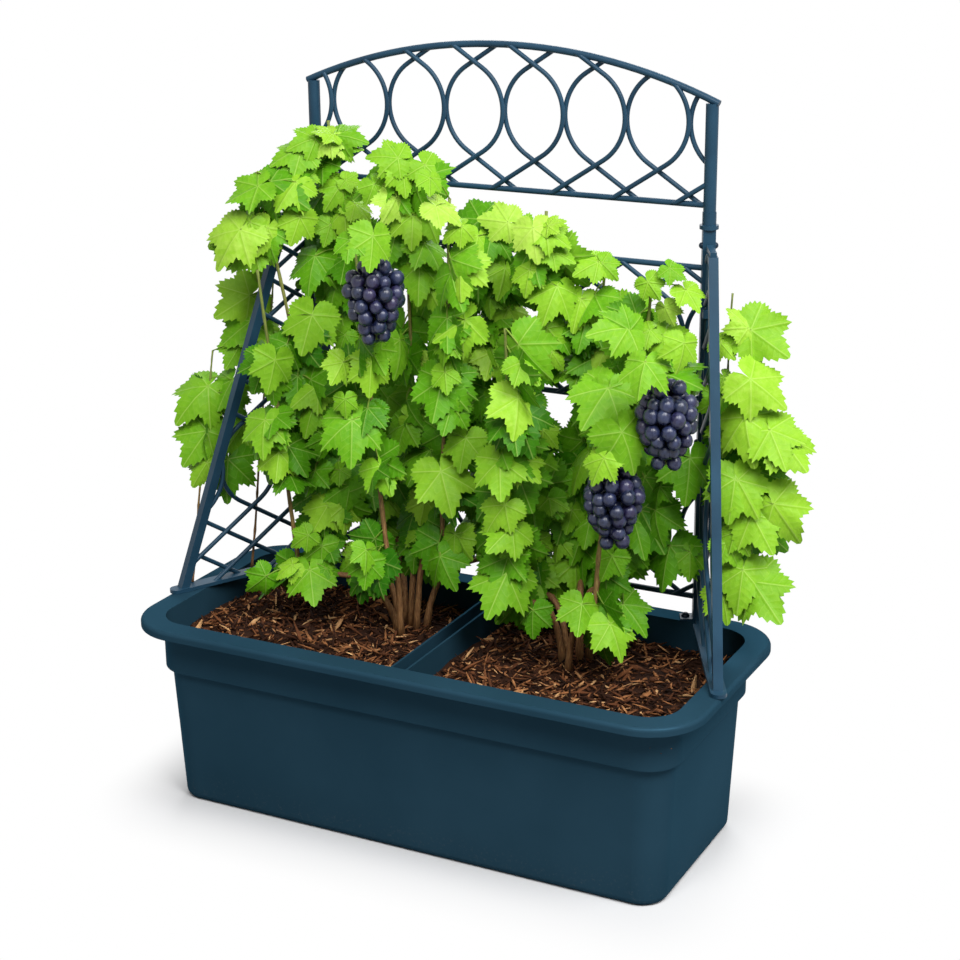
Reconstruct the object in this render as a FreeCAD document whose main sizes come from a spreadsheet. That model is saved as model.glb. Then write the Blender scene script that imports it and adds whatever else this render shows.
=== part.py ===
import FreeCAD, Part
import math
import os
import Sketcher

# Planter: divided trough, plug-together trellis with two side wings, two vines

document = FreeCAD.newDocument("planter")
sheet = document.addObject("Spreadsheet::Sheet", "sheet")
Vector = FreeCAD.Vector
UP = Vector(0, 0, 1)

# Driving sizes: lengths in millimetres, angles in degrees, heights measured from the top of the rim

driving_sizes = (
    ("rim_length", 800),
    ("rim_width", 366),
    ("trough_height", 263),
    ("rim_corner", 76),
    ("lip_depth", 12),
    ("lip_skin", 4),
    ("flange_skin", 4),
    ("lip_round", 5),
    ("lip_edge_round", 1.5),
    ("neck_inset", 30),
    ("neck_corner", 46),
    ("step_drop", 72),
    ("step_round", 3),
    ("body_inset", 38),
    ("body_corner", 40),
    ("base_inset", 47),
    ("base_corner", 34),
    ("base_round", 10),
    ("wall_skin", 3.2),
    ("floor_skin", 4.5),
    ("face_tolerance", 0.1),
    ("drain_width", 12),
    ("drain_spacing", 150),
    ("drain_row", 110),
    ("divider_width", 24),
    ("divider_skin", 3),
    ("divider_drop", 6),
    ("divider_channel", 45),
    ("divider_web", 4),
    ("divider_clearance", 0.4),
    ("mulch_drop", 42),
    ("mulch_clearance", 0.4),
    ("post_end_inset", 116.7),
    ("post_inset", 17.6),
    ("post_width", 16),
    ("post_skin", 1.5),
    ("foot_thick", 3),
    ("foot_back", 13),
    ("foot_tab", 24),
    ("rim_bolt_out", 17),
    ("rim_bolt_back", 3),
    ("rim_bolt_width", 6),
    ("rim_bolt_head", 11),
    ("rim_nut_thick", 5),
    ("coupler_height", 265),
    ("collar_height", 521),
    ("collar_width", 24),
    ("collar_thick", 5),
    ("spigot_width", 12),
    ("spigot_length", 70),
    ("coupler_spigot", 34),
    ("collar_clearance", 0.4),
    ("leg_width", 16),
    ("sleeve_width", 17.6),
    ("sleeve_height", 16),
    ("screw_drop", 21),
    ("screw_width", 4),
    ("screw_head", 8.5),
    ("rail_thick", 7.6),
    ("arch_thick", 9),
    ("arch_rail_rise", 29),
    ("arch_leg_length", 154),
    ("arch_rise", 59),
    ("arch_overhang", 9),
    ("rail_drop", 50),
    ("rail_rise", 22),
    ("lower_low_height", 31),
    ("wire_thick", 6.2),
    ("wire_layer_gap", 0.2),
    ("wire_pitch", 84.8),
    ("wire_bend", 64),
    ("wire_sweep", 57),
    ("arch_contact_drop", 25),
    ("wing_splay", 26.8),
    ("wing_reach", 236.2),
    ("wing_top_drop", 24),
    ("wing_top_reach", 53),
    ("wing_contact_height", 162),
    ("wing_contact_reach", 83),
    ("wing_lift", 0.3),
    ("base_bar_thick", 5),
    ("base_bar_width", 20),
    ("base_bar_tongue", 10),
    ("base_bar_neck", 14),
    ("base_bar_nose", 10),
    ("brace_thick", 12),
    ("strap_thick", 6),
    ("strap_width", 8),
    ("stile_thick", 8),
    ("stile_gap", 4),
    ("stile_margin", 1),
    ("clip_width", 14),
    ("clip_tall", 10),
    ("clip_wall", 3),
    ("clip_clearance", 0.3),
    ("lower_clip_height", 72.2),
    ("upper_clip_drop", 80),
    ("cane_thick", 6),
    ("wing_cane_thick", 5),
    ("wing_cane_gap", 0.5),
    ("leaf_length", 60),
    ("leaf_thick", 1.2),
    ("petiole_length", 26),
    ("leaf_spacing", 37),
    ("leaf_root_gap", 0.1),
    ("berry_width", 19),
    ("berry_gap", 0.3),
    ("bunch_width", 78),
    ("bunch_length", 116),
    ("bunch_stalk", 4),
    ("berry_stem", 1.6),
)
for row, (alias, value) in enumerate(driving_sizes, 1):
    sheet.set("A%d" % row, alias)
    sheet.set("B%d" % row, str(value))
    sheet.setAlias("B%d" % row, alias)
document.recompute()


def size(alias):
    """The number held by one named cell."""
    return float(sheet.get(alias))


def measure(text):
    """The number that an expression on the sheet gives."""
    return float(sheet.evalExpression(text))


def above_rim(alias):
    """The expression for the level at a named height above the rim."""
    return "(sheet.trough_height + sheet.%s)" % alias


def bind(part, bindings):
    """Tie properties of a part to expressions on the sheet."""
    for name, text in bindings:
        part.setExpression(name, text)
    return part


finished = []


def finish(part):
    """Keep a part for export under its label."""
    finished.append(part)
    return part


# Plain solids bound to the sheet

def block(label, length, width, height, x, y, z):
    """A box from expressions for its sides and its low corner."""
    part = document.addObject("Part::Box", label)
    return bind(part, (
        ("Length", length),
        ("Width", width),
        ("Height", height),
        (".Placement.Base.x", x),
        (".Placement.Base.y", y),
        (".Placement.Base.z", z),
    ))


def rod(label, radius, height, x, y, z, turn=None):
    """A cylinder from expressions, along Z unless a turn is given."""
    part = document.addObject("Part::Cylinder", label)
    if turn is not None:
        part.Placement = FreeCAD.Placement(Vector(), turn)
    return bind(part, (
        ("Radius", radius),
        ("Height", height),
        (".Placement.Base.x", x),
        (".Placement.Base.y", y),
        (".Placement.Base.z", z),
    ))


def dome(label, radius, x, y, z, turn=None):
    """A half ball from expressions, bulging along Z unless a turn is given."""
    part = document.addObject("Part::Sphere", label)
    part.Angle1 = 0
    if turn is not None:
        part.Placement = FreeCAD.Placement(Vector(), turn)
    return bind(part, (
        ("Radius", radius),
        (".Placement.Base.x", x),
        (".Placement.Base.y", y),
        (".Placement.Base.z", z),
    ))


def cut(label, base, tool):
    """One solid with another taken out of it."""
    part = document.addObject("Part::Cut", label)
    part.Base = base
    part.Tool = tool
    return part


def fuse(label, shapes):
    """Several touching solids welded into one."""
    part = document.addObject("Part::MultiFuse", label)
    part.Shapes = shapes
    part.Refine = True
    return part


def group(label, links):
    """Several separate solids kept as one named piece."""
    part = document.addObject("Part::Compound", label)
    part.Links = links
    return part


def set_shape(label, shape):
    """A piece whose shape is worked out from the sheet's sizes."""
    part = document.addObject("Part::Feature", label)
    part.Shape = shape
    return part


ALONG_X = FreeCAD.Rotation(Vector(0, 1, 0), 90)
AGAINST_X = FreeCAD.Rotation(Vector(0, 1, 0), -90)
sides = (("left", -1), ("right", 1))
post_spread = "(sheet.rim_length / 2 - sheet.post_end_inset)"
post_back = "(sheet.rim_width / 2 - sheet.post_inset)"
mulch_top = "(sheet.trough_height - sheet.mulch_drop)"
step_level = "(sheet.trough_height - sheet.step_drop)"
coupler_level = above_rim("coupler_height")
collar_level = above_rim("collar_height")
arch_rail_level = "(%s + sheet.arch_rail_rise)" % collar_level
arch_spring_level = "(%s + sheet.arch_leg_length)" % collar_level
wing_top_level = "(%s - sheet.wing_top_drop)" % collar_level


def at_post(part, side):
    """Move a piece drawn about the post's own axis to its place on the rear rim."""
    part.Placement = FreeCAD.Placement(Vector(), FreeCAD.Rotation(UP, side * size("wing_splay")))
    return bind(part, (
        (".Placement.Base.x", "%d * %s" % (side, post_spread)),
        (".Placement.Base.y", post_back),
    ))


def post_place(side):
    """The same place as numbers, for pieces worked out as shapes."""
    base = Vector(side * measure(post_spread), measure(post_back), 0)
    return FreeCAD.Placement(base, FreeCAD.Rotation(UP, side * size("wing_splay")))


# Sketches for the moulded trough

def base_plane(body, role):
    """One of the body's own origin planes."""
    return [item for item in body.Origin.OriginFeatures if item.Role == role][0]


def flat_sketch(body, label, level):
    """A sketch lying flat at a level given by an expression."""
    sketch = body.newObject("Sketcher::SketchObject", label)
    sketch.AttachmentSupport = [(base_plane(body, "XY_Plane"), "")]
    sketch.MapMode = "FlatFace"
    sketch.setExpression("AttachmentOffset.Base.z", level)
    return sketch


def rounded_outline(sketch, name, inset, corner):
    """Add a rounded rectangle, a given inset inside the outline of the rim."""
    half = size("rim_length") / 2
    deep = size("rim_width") / 2
    curve = size("neck_corner")
    line = Part.LineSegment
    first = sketch.GeometryCount
    sketch.addGeometry([
        line(Vector(curve - half, -deep, 0), Vector(half - curve, -deep, 0)),
        line(Vector(half, curve - deep, 0), Vector(half, deep - curve, 0)),
        line(Vector(half - curve, deep, 0), Vector(curve - half, deep, 0)),
        line(Vector(-half, deep - curve, 0), Vector(-half, curve - deep, 0)),
    ])
    quarter = math.pi / 2
    for turn, across, along in ((-1, 1, -1), (0, 1, 1), (1, -1, 1), (2, -1, -1)):
        centre = Vector(across * (half - curve), along * (deep - curve), 0)
        circle = Part.Circle(centre, UP, curve)
        sketch.addGeometry(Part.ArcOfCircle(circle, turn * quarter, (turn + 1) * quarter))
    rules = []
    for count in range(4):
        arc = first + 4 + count
        rules.append(Sketcher.Constraint("Tangent", first + count, 2, arc, 1))
        rules.append(Sketcher.Constraint("Tangent", arc, 2, first + (count + 1) % 4, 1))
    for count in range(2):
        rules.append(Sketcher.Constraint("Horizontal", first + 2 * count))
        rules.append(Sketcher.Constraint("Vertical", first + 2 * count + 1))
    for count in range(3):
        rules.append(Sketcher.Constraint("Equal", first + 4 + count, first + 5 + count))
    rules.append(Sketcher.Constraint("Symmetric", first + 4, 3, first + 6, 3, -1, 1))
    sketch.addConstraint(rules)
    measures = (
        (Sketcher.Constraint("DistanceX", first + 3, 1, first + 1, 1, 2 * half), "length",
         "sheet.rim_length - 2 * (%s)" % inset),
        (Sketcher.Constraint("DistanceY", first, 1, first + 2, 1, 2 * deep), "width",
         "sheet.rim_width - 2 * (%s)" % inset),
        (Sketcher.Constraint("Radius", first + 4, curve), "corner", corner),
    )
    for constraint, kind, text in measures:
        number = sketch.addConstraint(constraint)
        sketch.renameConstraint(number, name + kind)
        sketch.setExpression("Constraints." + name + kind, text)
    return sketch


def circles(sketch, spots, width):
    """Add bound circles at centres given as pairs of expressions."""
    wide = measure(width)
    for count, (x, y) in enumerate(spots):
        centre = Vector(measure(x), measure(y), 0)
        number = sketch.addGeometry(Part.Circle(centre, UP, wide / 2))
        for kind, rule, text in (
            ("width", Sketcher.Constraint("Diameter", number, wide), width),
            ("across", Sketcher.Constraint("DistanceX", -1, 1, number, 3, centre.x), x),
            ("along", Sketcher.Constraint("DistanceY", -1, 1, number, 3, centre.y), y),
        ):
            place = sketch.addConstraint(rule)
            sketch.renameConstraint(place, "%s%d" % (kind, count))
            sketch.setExpression("Constraints.%s%d" % (kind, count), text)
    return sketch


def outer_edges(feature, level, facing):
    """Names of the outer edges of the flat face at a level that faces up or down."""
    names = []
    for face in feature.Shape.Faces:
        flat = face.BoundBox.ZLength < size("face_tolerance")
        if not flat or abs(face.BoundBox.ZMin - level) > size("face_tolerance"):
            continue
        if face.normalAt(0, 0).z * facing < 0:
            continue
        for edge in face.OuterWire.Edges:
            for number, other in enumerate(feature.Shape.Edges, 1):
                if edge.isSame(other):
                    names.append("Edge%d" % number)
    return sorted(set(names))


def rounded(body, feature, label, level, facing, radius):
    """Round the outer edges of one level face."""
    document.recompute()
    part = body.newObject("PartDesign::Fillet", label)
    part.Base = (feature, outer_edges(feature, level, facing))
    part.setExpression("Radius", radius)
    return part


def pad(body, label, sketch, length, backwards=False):
    """Push a sketch up into a solid."""
    part = body.newObject("PartDesign::Pad", label)
    part.Profile = sketch
    part.Reversed = backwards
    part.setExpression("Length", length)
    return part


def pocket(body, label, sketch, length, upwards=False):
    """Take a sketch out of the body, downwards unless told otherwise."""
    part = body.newObject("PartDesign::Pocket", label)
    part.Profile = sketch
    part.Reversed = upwards
    part.setExpression("Length", length)
    return part


# The trough: tapered body, stepped neck, flanged rim with a turned-down lip

def build_trough():
    """Mould the trough as one body."""
    body = document.addObject("PartDesign::Body", "trough")
    foot = rounded_outline(flat_sketch(body, "foot_outline", "0"), "foot",
                           "sheet.base_inset", "sheet.base_corner")
    shoulder = rounded_outline(flat_sketch(body, "shoulder_outline", step_level), "shoulder",
                               "sheet.body_inset", "sheet.body_corner")
    tub = body.newObject("PartDesign::AdditiveLoft", "tub")
    tub.Profile = foot
    tub.Sections = [shoulder]
    tub.Ruled = True
    neck = rounded_outline(flat_sketch(body, "neck_outline", step_level), "neck",
                           "sheet.neck_inset", "sheet.neck_corner")
    pad(body, "neck", neck, "sheet.step_drop")
    rim = rounded_outline(flat_sketch(body, "rim_outline", "sheet.trough_height - sheet.lip_depth"), "rim",
                          "0", "sheet.rim_corner")
    pad(body, "rim", rim, "sheet.lip_depth")
    under = flat_sketch(body, "under_rim_outline", "sheet.trough_height - sheet.lip_depth")
    rounded_outline(under, "outer", "sheet.lip_skin", "sheet.rim_corner - sheet.lip_skin")
    rounded_outline(under, "inner", "sheet.neck_inset", "sheet.neck_corner")
    pocket(body, "under_rim", under, "sheet.lip_depth - sheet.flange_skin", True)
    mouth = rounded_outline(flat_sketch(body, "mouth_outline", "sheet.trough_height"), "mouth",
                            "sheet.neck_inset + sheet.wall_skin", "sheet.neck_corner - sheet.wall_skin")
    pocket(body, "mouth", mouth, "sheet.step_drop - sheet.wall_skin")
    ledge = rounded_outline(flat_sketch(body, "ledge_outline", step_level + " + sheet.wall_skin"), "ledge",
                            "sheet.body_inset + sheet.wall_skin", "sheet.body_corner - sheet.wall_skin")
    floor = rounded_outline(flat_sketch(body, "floor_outline", "sheet.floor_skin"), "floor",
                            "sheet.base_inset + sheet.wall_skin", "sheet.base_corner - sheet.wall_skin")
    hollow = body.newObject("PartDesign::SubtractiveLoft", "hollow")
    hollow.Profile = ledge
    hollow.Sections = [floor]
    hollow.Ruled = True
    drains = flat_sketch(body, "drain_outline", "sheet.floor_skin")
    spots = [("%d * sheet.drain_spacing / 2" % step, "%d * sheet.drain_row / 2" % row)
             for step in (-3, -1, 1, 3) for row in (-1, 1)]
    circles(drains, spots, "sheet.drain_width")
    pocket(body, "drains", drains, "sheet.floor_skin")
    holes = flat_sketch(body, "rim_bolt_outline", "sheet.trough_height")
    turn = "sheet.wing_splay * 1 deg"
    across = ("(%s - cos(%s) * sheet.rim_bolt_out - sin(%s) * sheet.rim_bolt_back)"
              % (post_spread, turn, turn))
    along = ("%s - sin(%s) * sheet.rim_bolt_out + cos(%s) * sheet.rim_bolt_back"
             % (post_back, turn, turn))
    circles(holes, [("%d * %s" % (side, across), along) for name, side in sides], "sheet.rim_bolt_width")
    last = pocket(body, "rim_bolt_holes", holes, "sheet.flange_skin")
    top = size("trough_height")
    last = rounded(body, last, "lip_rounding", top, 1, "sheet.lip_round")
    last = rounded(body, last, "lip_edge_rounding", top - size("lip_depth"), -1, "sheet.lip_edge_round")
    last = rounded(body, last, "step_rounding", measure(step_level), -1, "sheet.step_round")
    last = rounded(body, last, "base_rounding", 0, -1, "sheet.base_round")
    body.Tip = last
    return finish(body)


# The divider: a twin-walled drop-in wall that sits on the floor of the trough

def inside_polygon(inset):
    """Cross section of the trough's inside across its width, below a given drop, as Y and Z points."""
    top = size("trough_height") - size("divider_drop")
    half = size("rim_width") / 2 - size("wall_skin") - inset
    ledge = measure(step_level) + size("wall_skin") + inset
    return (
        (half - size("neck_inset"), top),
        (half - size("neck_inset"), ledge),
        (half - size("body_inset"), ledge),
        (half - size("base_inset"), size("floor_skin")),
    )


def build_divider():
    """Draw the cross wall from the trough's own section and hollow it from above and below."""
    side = inside_polygon(size("divider_clearance"))
    outline = [Vector(0, y, z) for y, z in side] + [Vector(0, -y, z) for y, z in reversed(side)]
    wide = size("divider_width")
    face = Part.Face(Part.makePolygon(outline + outline[:1]))
    wall = face.extrude(Vector(wide, 0, 0))
    wall.translate(Vector(-wide / 2, 0, 0))
    room = wide - 2 * size("divider_skin")
    top = size("trough_height") - size("divider_drop")
    web = top - size("divider_channel")
    spread = 2 * side[0][0] - 2 * size("divider_skin")
    channel = Part.makeBox(room, spread, size("divider_channel"), Vector(-room / 2, -spread / 2, web))
    low = web - size("divider_web") - size("floor_skin")
    narrow = 2 * side[3][0] - 2 * size("divider_skin")
    core = Part.makeBox(room, narrow, low, Vector(-room / 2, -narrow / 2, size("floor_skin")))
    return finish(set_shape("divider", wall.cut([channel, core])))


# Bark mulch: the fill on each side of the divider

def outline_wire(inset, corner, level):
    """Rounded rectangle as a wire, a given inset inside the outline of the rim."""
    half = size("rim_length") / 2 - inset
    deep = size("rim_width") / 2 - inset
    plate = Part.makePlane(2 * half, 2 * deep, Vector(-half, -deep, level))
    tall = plate.extrude(Vector(0, 0, corner))
    upright = [edge for edge in tall.Edges if edge.BoundBox.ZLength > corner / 2]
    smooth = tall.makeFillet(corner, upright)
    low = [face for face in smooth.Faces if face.BoundBox.ZMax < level + corner / 2][0]
    return low.OuterWire


def build_mulch():
    """Fill the trough's inside up to the mulch level and part it at the divider."""
    gap = size("mulch_clearance")
    skin = size("wall_skin") + gap
    ledge = measure(step_level) + size("wall_skin")
    top = measure(mulch_top)
    low = Part.makeLoft([
        outline_wire(size("base_inset") + skin, size("base_corner") - skin, size("floor_skin")),
        outline_wire(size("body_inset") + skin, size("body_corner") - skin, ledge),
    ], True, True)
    high = Part.Face(outline_wire(size("neck_inset") + skin, size("neck_corner") - skin, ledge))
    fill = low.fuse(high.extrude(Vector(0, 0, top - ledge)))
    length = size("rim_length")
    start = size("divider_width") / 2 + size("divider_clearance")
    for name, side in sides:
        low_x = start if side > 0 else -length
        half = Part.makeBox(length - start, length, length, Vector(low_x, -length / 2, 0))
        finish(set_shape("mulch_" + name, fill.common(half).removeSplitter()))


# Posts, feet, couplers, collars and their fasteners

def build_post(label, side, low, high, screw_level):
    """A square tube between two levels with a screw hole through both flanks."""
    tall = "%s - (%s)" % (high, low)
    half = "-sheet.post_width / 2"
    outer = block(label + "_outer", "sheet.post_width", "sheet.post_width", tall, half, half, low)
    inner = block(label + "_inner", "sheet.post_width - 2 * sheet.post_skin",
                  "sheet.post_width - 2 * sheet.post_skin", tall,
                  half + " + sheet.post_skin", half + " + sheet.post_skin", low)
    hole = rod(label + "_hole", "sheet.screw_width / 2", "sheet.post_width", half, "0", screw_level, ALONG_X)
    return finish(at_post(cut(label, cut(label + "_tube", outer, inner), hole), side))


def build_foot(side):
    """Foot plate under a post, with a tab for the bolt on the side towards the middle."""
    length = "sheet.post_width / 2 + sheet.foot_tab"
    start = "-sheet.foot_tab" if side > 0 else "-sheet.post_width / 2"
    plate = block("foot_plate%d" % side, length, "sheet.post_width / 2 + sheet.foot_back", "sheet.foot_thick",
                  start, "-sheet.post_width / 2", "sheet.trough_height")
    hole = rod("foot_hole%d" % side, "sheet.rim_bolt_width / 2", "sheet.foot_thick",
               "%d * sheet.rim_bolt_out" % -side, "sheet.rim_bolt_back", "sheet.trough_height")
    return at_post(cut("foot%d" % side, plate, hole), side)


def build_rim_bolt(side):
    """Domed bolt that holds a foot to the rim."""
    x = "%d * sheet.rim_bolt_out" % -side
    y = "sheet.rim_bolt_back"
    top = "sheet.trough_height + sheet.foot_thick"
    low = "sheet.trough_height - sheet.flange_skin - sheet.rim_nut_thick"
    shank = rod("bolt_shank%d" % side, "sheet.rim_bolt_width / 2",
                "sheet.foot_thick + sheet.flange_skin + sheet.rim_nut_thick", x, y, low)
    head = dome("bolt_head%d" % side, "sheet.rim_bolt_head / 2", x, y, top)
    return at_post(fuse("bolt%d" % side, [shank, head]), side)


def build_rim_nut(side):
    """Hexagon nut under the rim."""
    low = "sheet.trough_height - sheet.flange_skin - sheet.rim_nut_thick"
    x = "%d * sheet.rim_bolt_out" % -side
    outer = document.addObject("Part::Prism", "nut_outer%d" % side)
    outer.Polygon = 6
    bind(outer, (
        ("Circumradius", "sheet.rim_bolt_head / 2"),
        ("Height", "sheet.rim_nut_thick"),
        (".Placement.Base.x", x),
        (".Placement.Base.y", "sheet.rim_bolt_back"),
        (".Placement.Base.z", low),
    ))
    hole = rod("nut_hole%d" % side, "sheet.rim_bolt_width / 2", "sheet.rim_nut_thick",
               x, "sheet.rim_bolt_back", low)
    return at_post(cut("nut%d" % side, outer, hole), side)


def build_coupler(side):
    """Round coupler between two posts: a ring between their ends and a spigot into each."""
    ring = rod("coupler_ring%d" % side, "sheet.collar_width / 2", "sheet.collar_thick",
               "0", "0", coupler_level)
    spigot = rod("coupler_spigot%d" % side, "sheet.spigot_width / 2",
                 "2 * sheet.coupler_spigot + sheet.collar_thick", "0", "0",
                 coupler_level + " - sheet.coupler_spigot")
    return at_post(fuse("coupler%d" % side, [ring, spigot]), side)


def build_collar(side):
    """Ring on top of the middle post that guides the arch leg's spigot."""
    ring = rod("collar_ring%d" % side, "sheet.collar_width / 2", "sheet.collar_thick",
               "0", "0", collar_level)
    bore = rod("collar_bore%d" % side, "sheet.spigot_width / 2 + sheet.collar_clearance",
               "sheet.collar_thick", "0", "0", collar_level)
    return at_post(cut("collar%d" % side, ring, bore), side)


def build_screws(label, level):
    """Domed clamp screws on both flanks of both posts at one level."""
    links = []
    for name, side in sides:
        pair = []
        for flank, out, back in ((1, ALONG_X, AGAINST_X), (-1, AGAINST_X, ALONG_X)):
            tag = "%s_%s%d" % (label, name, flank)
            face = "%d * sheet.post_width / 2" % flank
            head = dome(tag + "_head", "sheet.screw_head / 2", face, "0", level, out)
            shank = rod(tag + "_shank", "sheet.screw_width / 2", "sheet.post_skin", face, "0", level, back)
            pair.append(fuse(tag, [head, shank]))
        links.append(at_post(group(label + "_" + name, pair), side))
    return finish(group(label, links))


def build_posts():
    """The lower and middle posts with everything that joins them."""
    foot_top = "sheet.trough_height + sheet.foot_thick"
    for name, side in sides:
        build_post(name + "_lower_post", side, foot_top, coupler_level, coupler_level + " - sheet.screw_drop")
        build_post(name + "_middle_post", side, coupler_level + " + sheet.collar_thick", collar_level,
                   collar_level + " - sheet.screw_drop")
    finish(group("post_feet", [build_foot(side) for name, side in sides]))
    finish(group("rim_bolts", [build_rim_bolt(side) for name, side in sides]))
    finish(group("rim_nuts", [build_rim_nut(side) for name, side in sides]))
    finish(group("post_couplers", [build_coupler(side) for name, side in sides]))
    finish(group("top_collars", [build_collar(side) for name, side in sides]))
    build_screws("lower_clamp_screws", coupler_level + " - sheet.screw_drop")
    build_screws("upper_clamp_screws", collar_level + " - sheet.screw_drop")


# Rails between the posts

def build_rail(label, level, posts):
    """A round rail whose ends are shaped to the posts."""
    bar = rod(label + "_bar", "sheet.rail_thick / 2", "2 * " + post_spread,
              "-" + post_spread, post_back, level, ALONG_X)
    return finish(cut(label, bar, posts))


def post_envelopes():
    """The space that both square posts take up."""
    links = []
    for name, side in sides:
        half = "-sheet.post_width / 2"
        space = block("post_space_" + name, "sheet.post_width", "sheet.post_width", collar_level,
                      half, half, "0")
        links.append(at_post(group("post_place_" + name, [space]), side))
    return fuse("post_spaces", links)


def leg_envelopes():
    """The space that both round arch legs take up."""
    links = [
        rod("leg_space_" + name, "sheet.leg_width / 2", arch_spring_level,
            "%d * %s" % (side, post_spread), post_back, "0")
        for name, side in sides
    ]
    return fuse("leg_spaces", links)


# Lattice wires: bends that kiss at one level, with straight legs beyond

def bent_wire(contact, level, bulge, depth, drop, rise):
    """One wire in the XZ plane: an arc through its contact point with straight legs."""
    bend = size("wire_bend")
    sweep = math.radians(size("wire_sweep"))
    reach = bend * (1 - math.cos(sweep))
    climb = bend * math.sin(sweep)
    run = math.tan(sweep)
    low_reach = reach + (drop - climb) * run
    high_reach = reach + (rise - climb) * run
    low_end = Vector(contact - bulge * low_reach, depth, level - drop)
    low_bend = Vector(contact - bulge * reach, depth, level - climb)
    middle = Vector(contact, depth, level)
    high_bend = Vector(contact - bulge * reach, depth, level + climb)
    high_end = Vector(contact - bulge * high_reach, depth, level + rise)
    path = Part.Wire([
        Part.LineSegment(low_end, low_bend).toShape(),
        Part.Arc(low_bend, middle, high_bend).toShape(),
        Part.LineSegment(high_bend, high_end).toShape(),
    ])
    ring = Part.Wire(Part.makeCircle(size("wire_thick") / 2, low_end, low_bend - low_end))
    return path.makePipeShell([ring], True, False)


scrap_share = 0.02


def trimmed(wire, inside, around):
    """Keep the part of a wire inside a panel, shaped to the bars around it, without scraps."""
    kept = []
    limit = scrap_share * wire.Volume
    for piece in wire.common(inside).cut(around).Solids:
        if piece.Volume > limit:
            kept.append(piece)
    return kept


def layer_depth():
    """How far each layer of wires stands from the middle of its panel."""
    return (size("wire_thick") + size("wire_layer_gap")) / 2


def build_panel_wires(label, level, drop, rise, inside, around):
    """Both layers of wires of one back panel."""
    back = measure(post_back)
    most = int(measure(post_spread) / size("wire_pitch")) + 1
    for layer, bulge, offset in (("front", 1, -layer_depth()), ("back", -1, layer_depth())):
        wires = []
        for count in range(-most, most + 1):
            contact = count * size("wire_pitch")
            wire = bent_wire(contact, level, bulge, back + offset, drop, rise)
            wires.extend(trimmed(wire, inside, around))
        finish(set_shape("%s_%s_wires" % (label, layer), Part.makeCompound(wires)))


def rail_shape(level):
    """A rail as a plain shape, for trimming wires."""
    spread = measure(post_spread)
    start = Vector(-spread, measure(post_back), level)
    return Part.makeCylinder(size("rail_thick") / 2, 2 * spread, start, Vector(1, 0, 0))


def post_shapes():
    """Both square posts as plain shapes, for trimming wires."""
    wide = size("post_width")
    shapes = []
    for name, side in sides:
        shape = Part.makeBox(wide, wide, measure(collar_level), Vector(-wide / 2, -wide / 2, 0))
        shape.Placement = post_place(side)
        shapes.append(shape)
    return shapes


def build_back_panels():
    """The lower and middle panels: two rails and two layers of wires each."""
    posts = post_envelopes()
    spread = measure(post_spread)
    panels = (
        ("lower", above_rim("lower_low_height"), "(%s - sheet.rail_drop)" % coupler_level),
        ("middle", "(%s + sheet.rail_rise)" % coupler_level, "(%s - sheet.rail_drop)" % collar_level),
    )
    for label, low_level, top_level in panels:
        build_rail(label + "_low_rail", low_level, posts)
        build_rail(label + "_top_rail", top_level, posts)
        low = measure(low_level)
        high = measure(top_level)
        tall = high - low
        inside = Part.makeBox(2 * spread, size("rim_width"), tall, Vector(-spread, 0, low))
        around = [rail_shape(low), rail_shape(high)] + post_shapes()
        build_panel_wires(label, (low + high) / 2, tall / 2 + size("wire_thick"),
                          tall / 2 + size("wire_thick"), inside, around)


# The arch panel: two legs with spigots, an arched bar, a rail and two layers of wires

def arch_radius():
    """Radius of the arch from its span and rise."""
    span = measure(post_spread) + size("arch_overhang")
    rise = size("arch_rise")
    return (span * span + rise * rise) / (2 * rise)


def arch_shape():
    """The arched bar as part of a ring."""
    span = measure(post_spread) + size("arch_overhang")
    radius = arch_radius()
    back = measure(post_back)
    top = measure(arch_spring_level) + size("arch_rise")
    centre = Vector(0, back, top - radius)
    sweep = 2 * math.degrees(math.asin(span / radius))
    start = Vector(span, back, measure(arch_spring_level))
    along = Vector(start.z - centre.z, 0, centre.x - start.x)
    ring = Part.Face(Part.Wire(Part.makeCircle(size("arch_thick") / 2, start, along)))
    return ring.revolve(centre, Vector(0, -1, 0), sweep)


def build_arch_panel():
    """The plug-in panel at the top of the trellis."""
    arch = finish(set_shape("arch_bar", arch_shape()))
    low = collar_level + " + sheet.collar_thick"
    for name, side in sides:
        x = "%d * %s" % (side, post_spread)
        leg = rod(name + "_leg_tube", "sheet.leg_width / 2", "%s - (%s)" % (arch_spring_level, low),
                  x, post_back, low)
        sleeve = rod(name + "_leg_sleeve", "sheet.sleeve_width / 2", "sheet.sleeve_height", x, post_back, low)
        spigot = rod(name + "_leg_spigot", "sheet.spigot_width / 2", "sheet.spigot_length",
                     x, post_back, "%s - sheet.spigot_length" % low)
        finish(cut(name + "_arch_leg", fuse(name + "_leg_blank", [leg, sleeve, spigot]), arch))
    build_rail("arch_rail", arch_rail_level, leg_envelopes())
    rail = measure(arch_rail_level)
    spread = measure(post_spread)
    back = measure(post_back)
    radius = arch_radius()
    top = measure(arch_spring_level) + size("arch_rise")
    room = Part.makeBox(2 * spread, size("rim_width"), top - rail, Vector(-spread, 0, rail))
    under = Part.makeCylinder(radius, size("rim_width"), Vector(0, 0, top - radius), Vector(0, 1, 0))
    legs = [
        Part.makeCylinder(size("leg_width") / 2, top, Vector(side * spread, back, 0))
        for name, side in sides
    ]
    around = [rail_shape(rail), arch.Shape] + legs
    level = measure(arch_spring_level) - size("arch_contact_drop")
    build_panel_wires("arch", level, level - rail + size("wire_thick"), top - level + size("wire_thick"),
                      room.common(under), around)


# The side wings: hinge rod, sloping brace, flat base bar, top strap and two layers of wires

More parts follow.
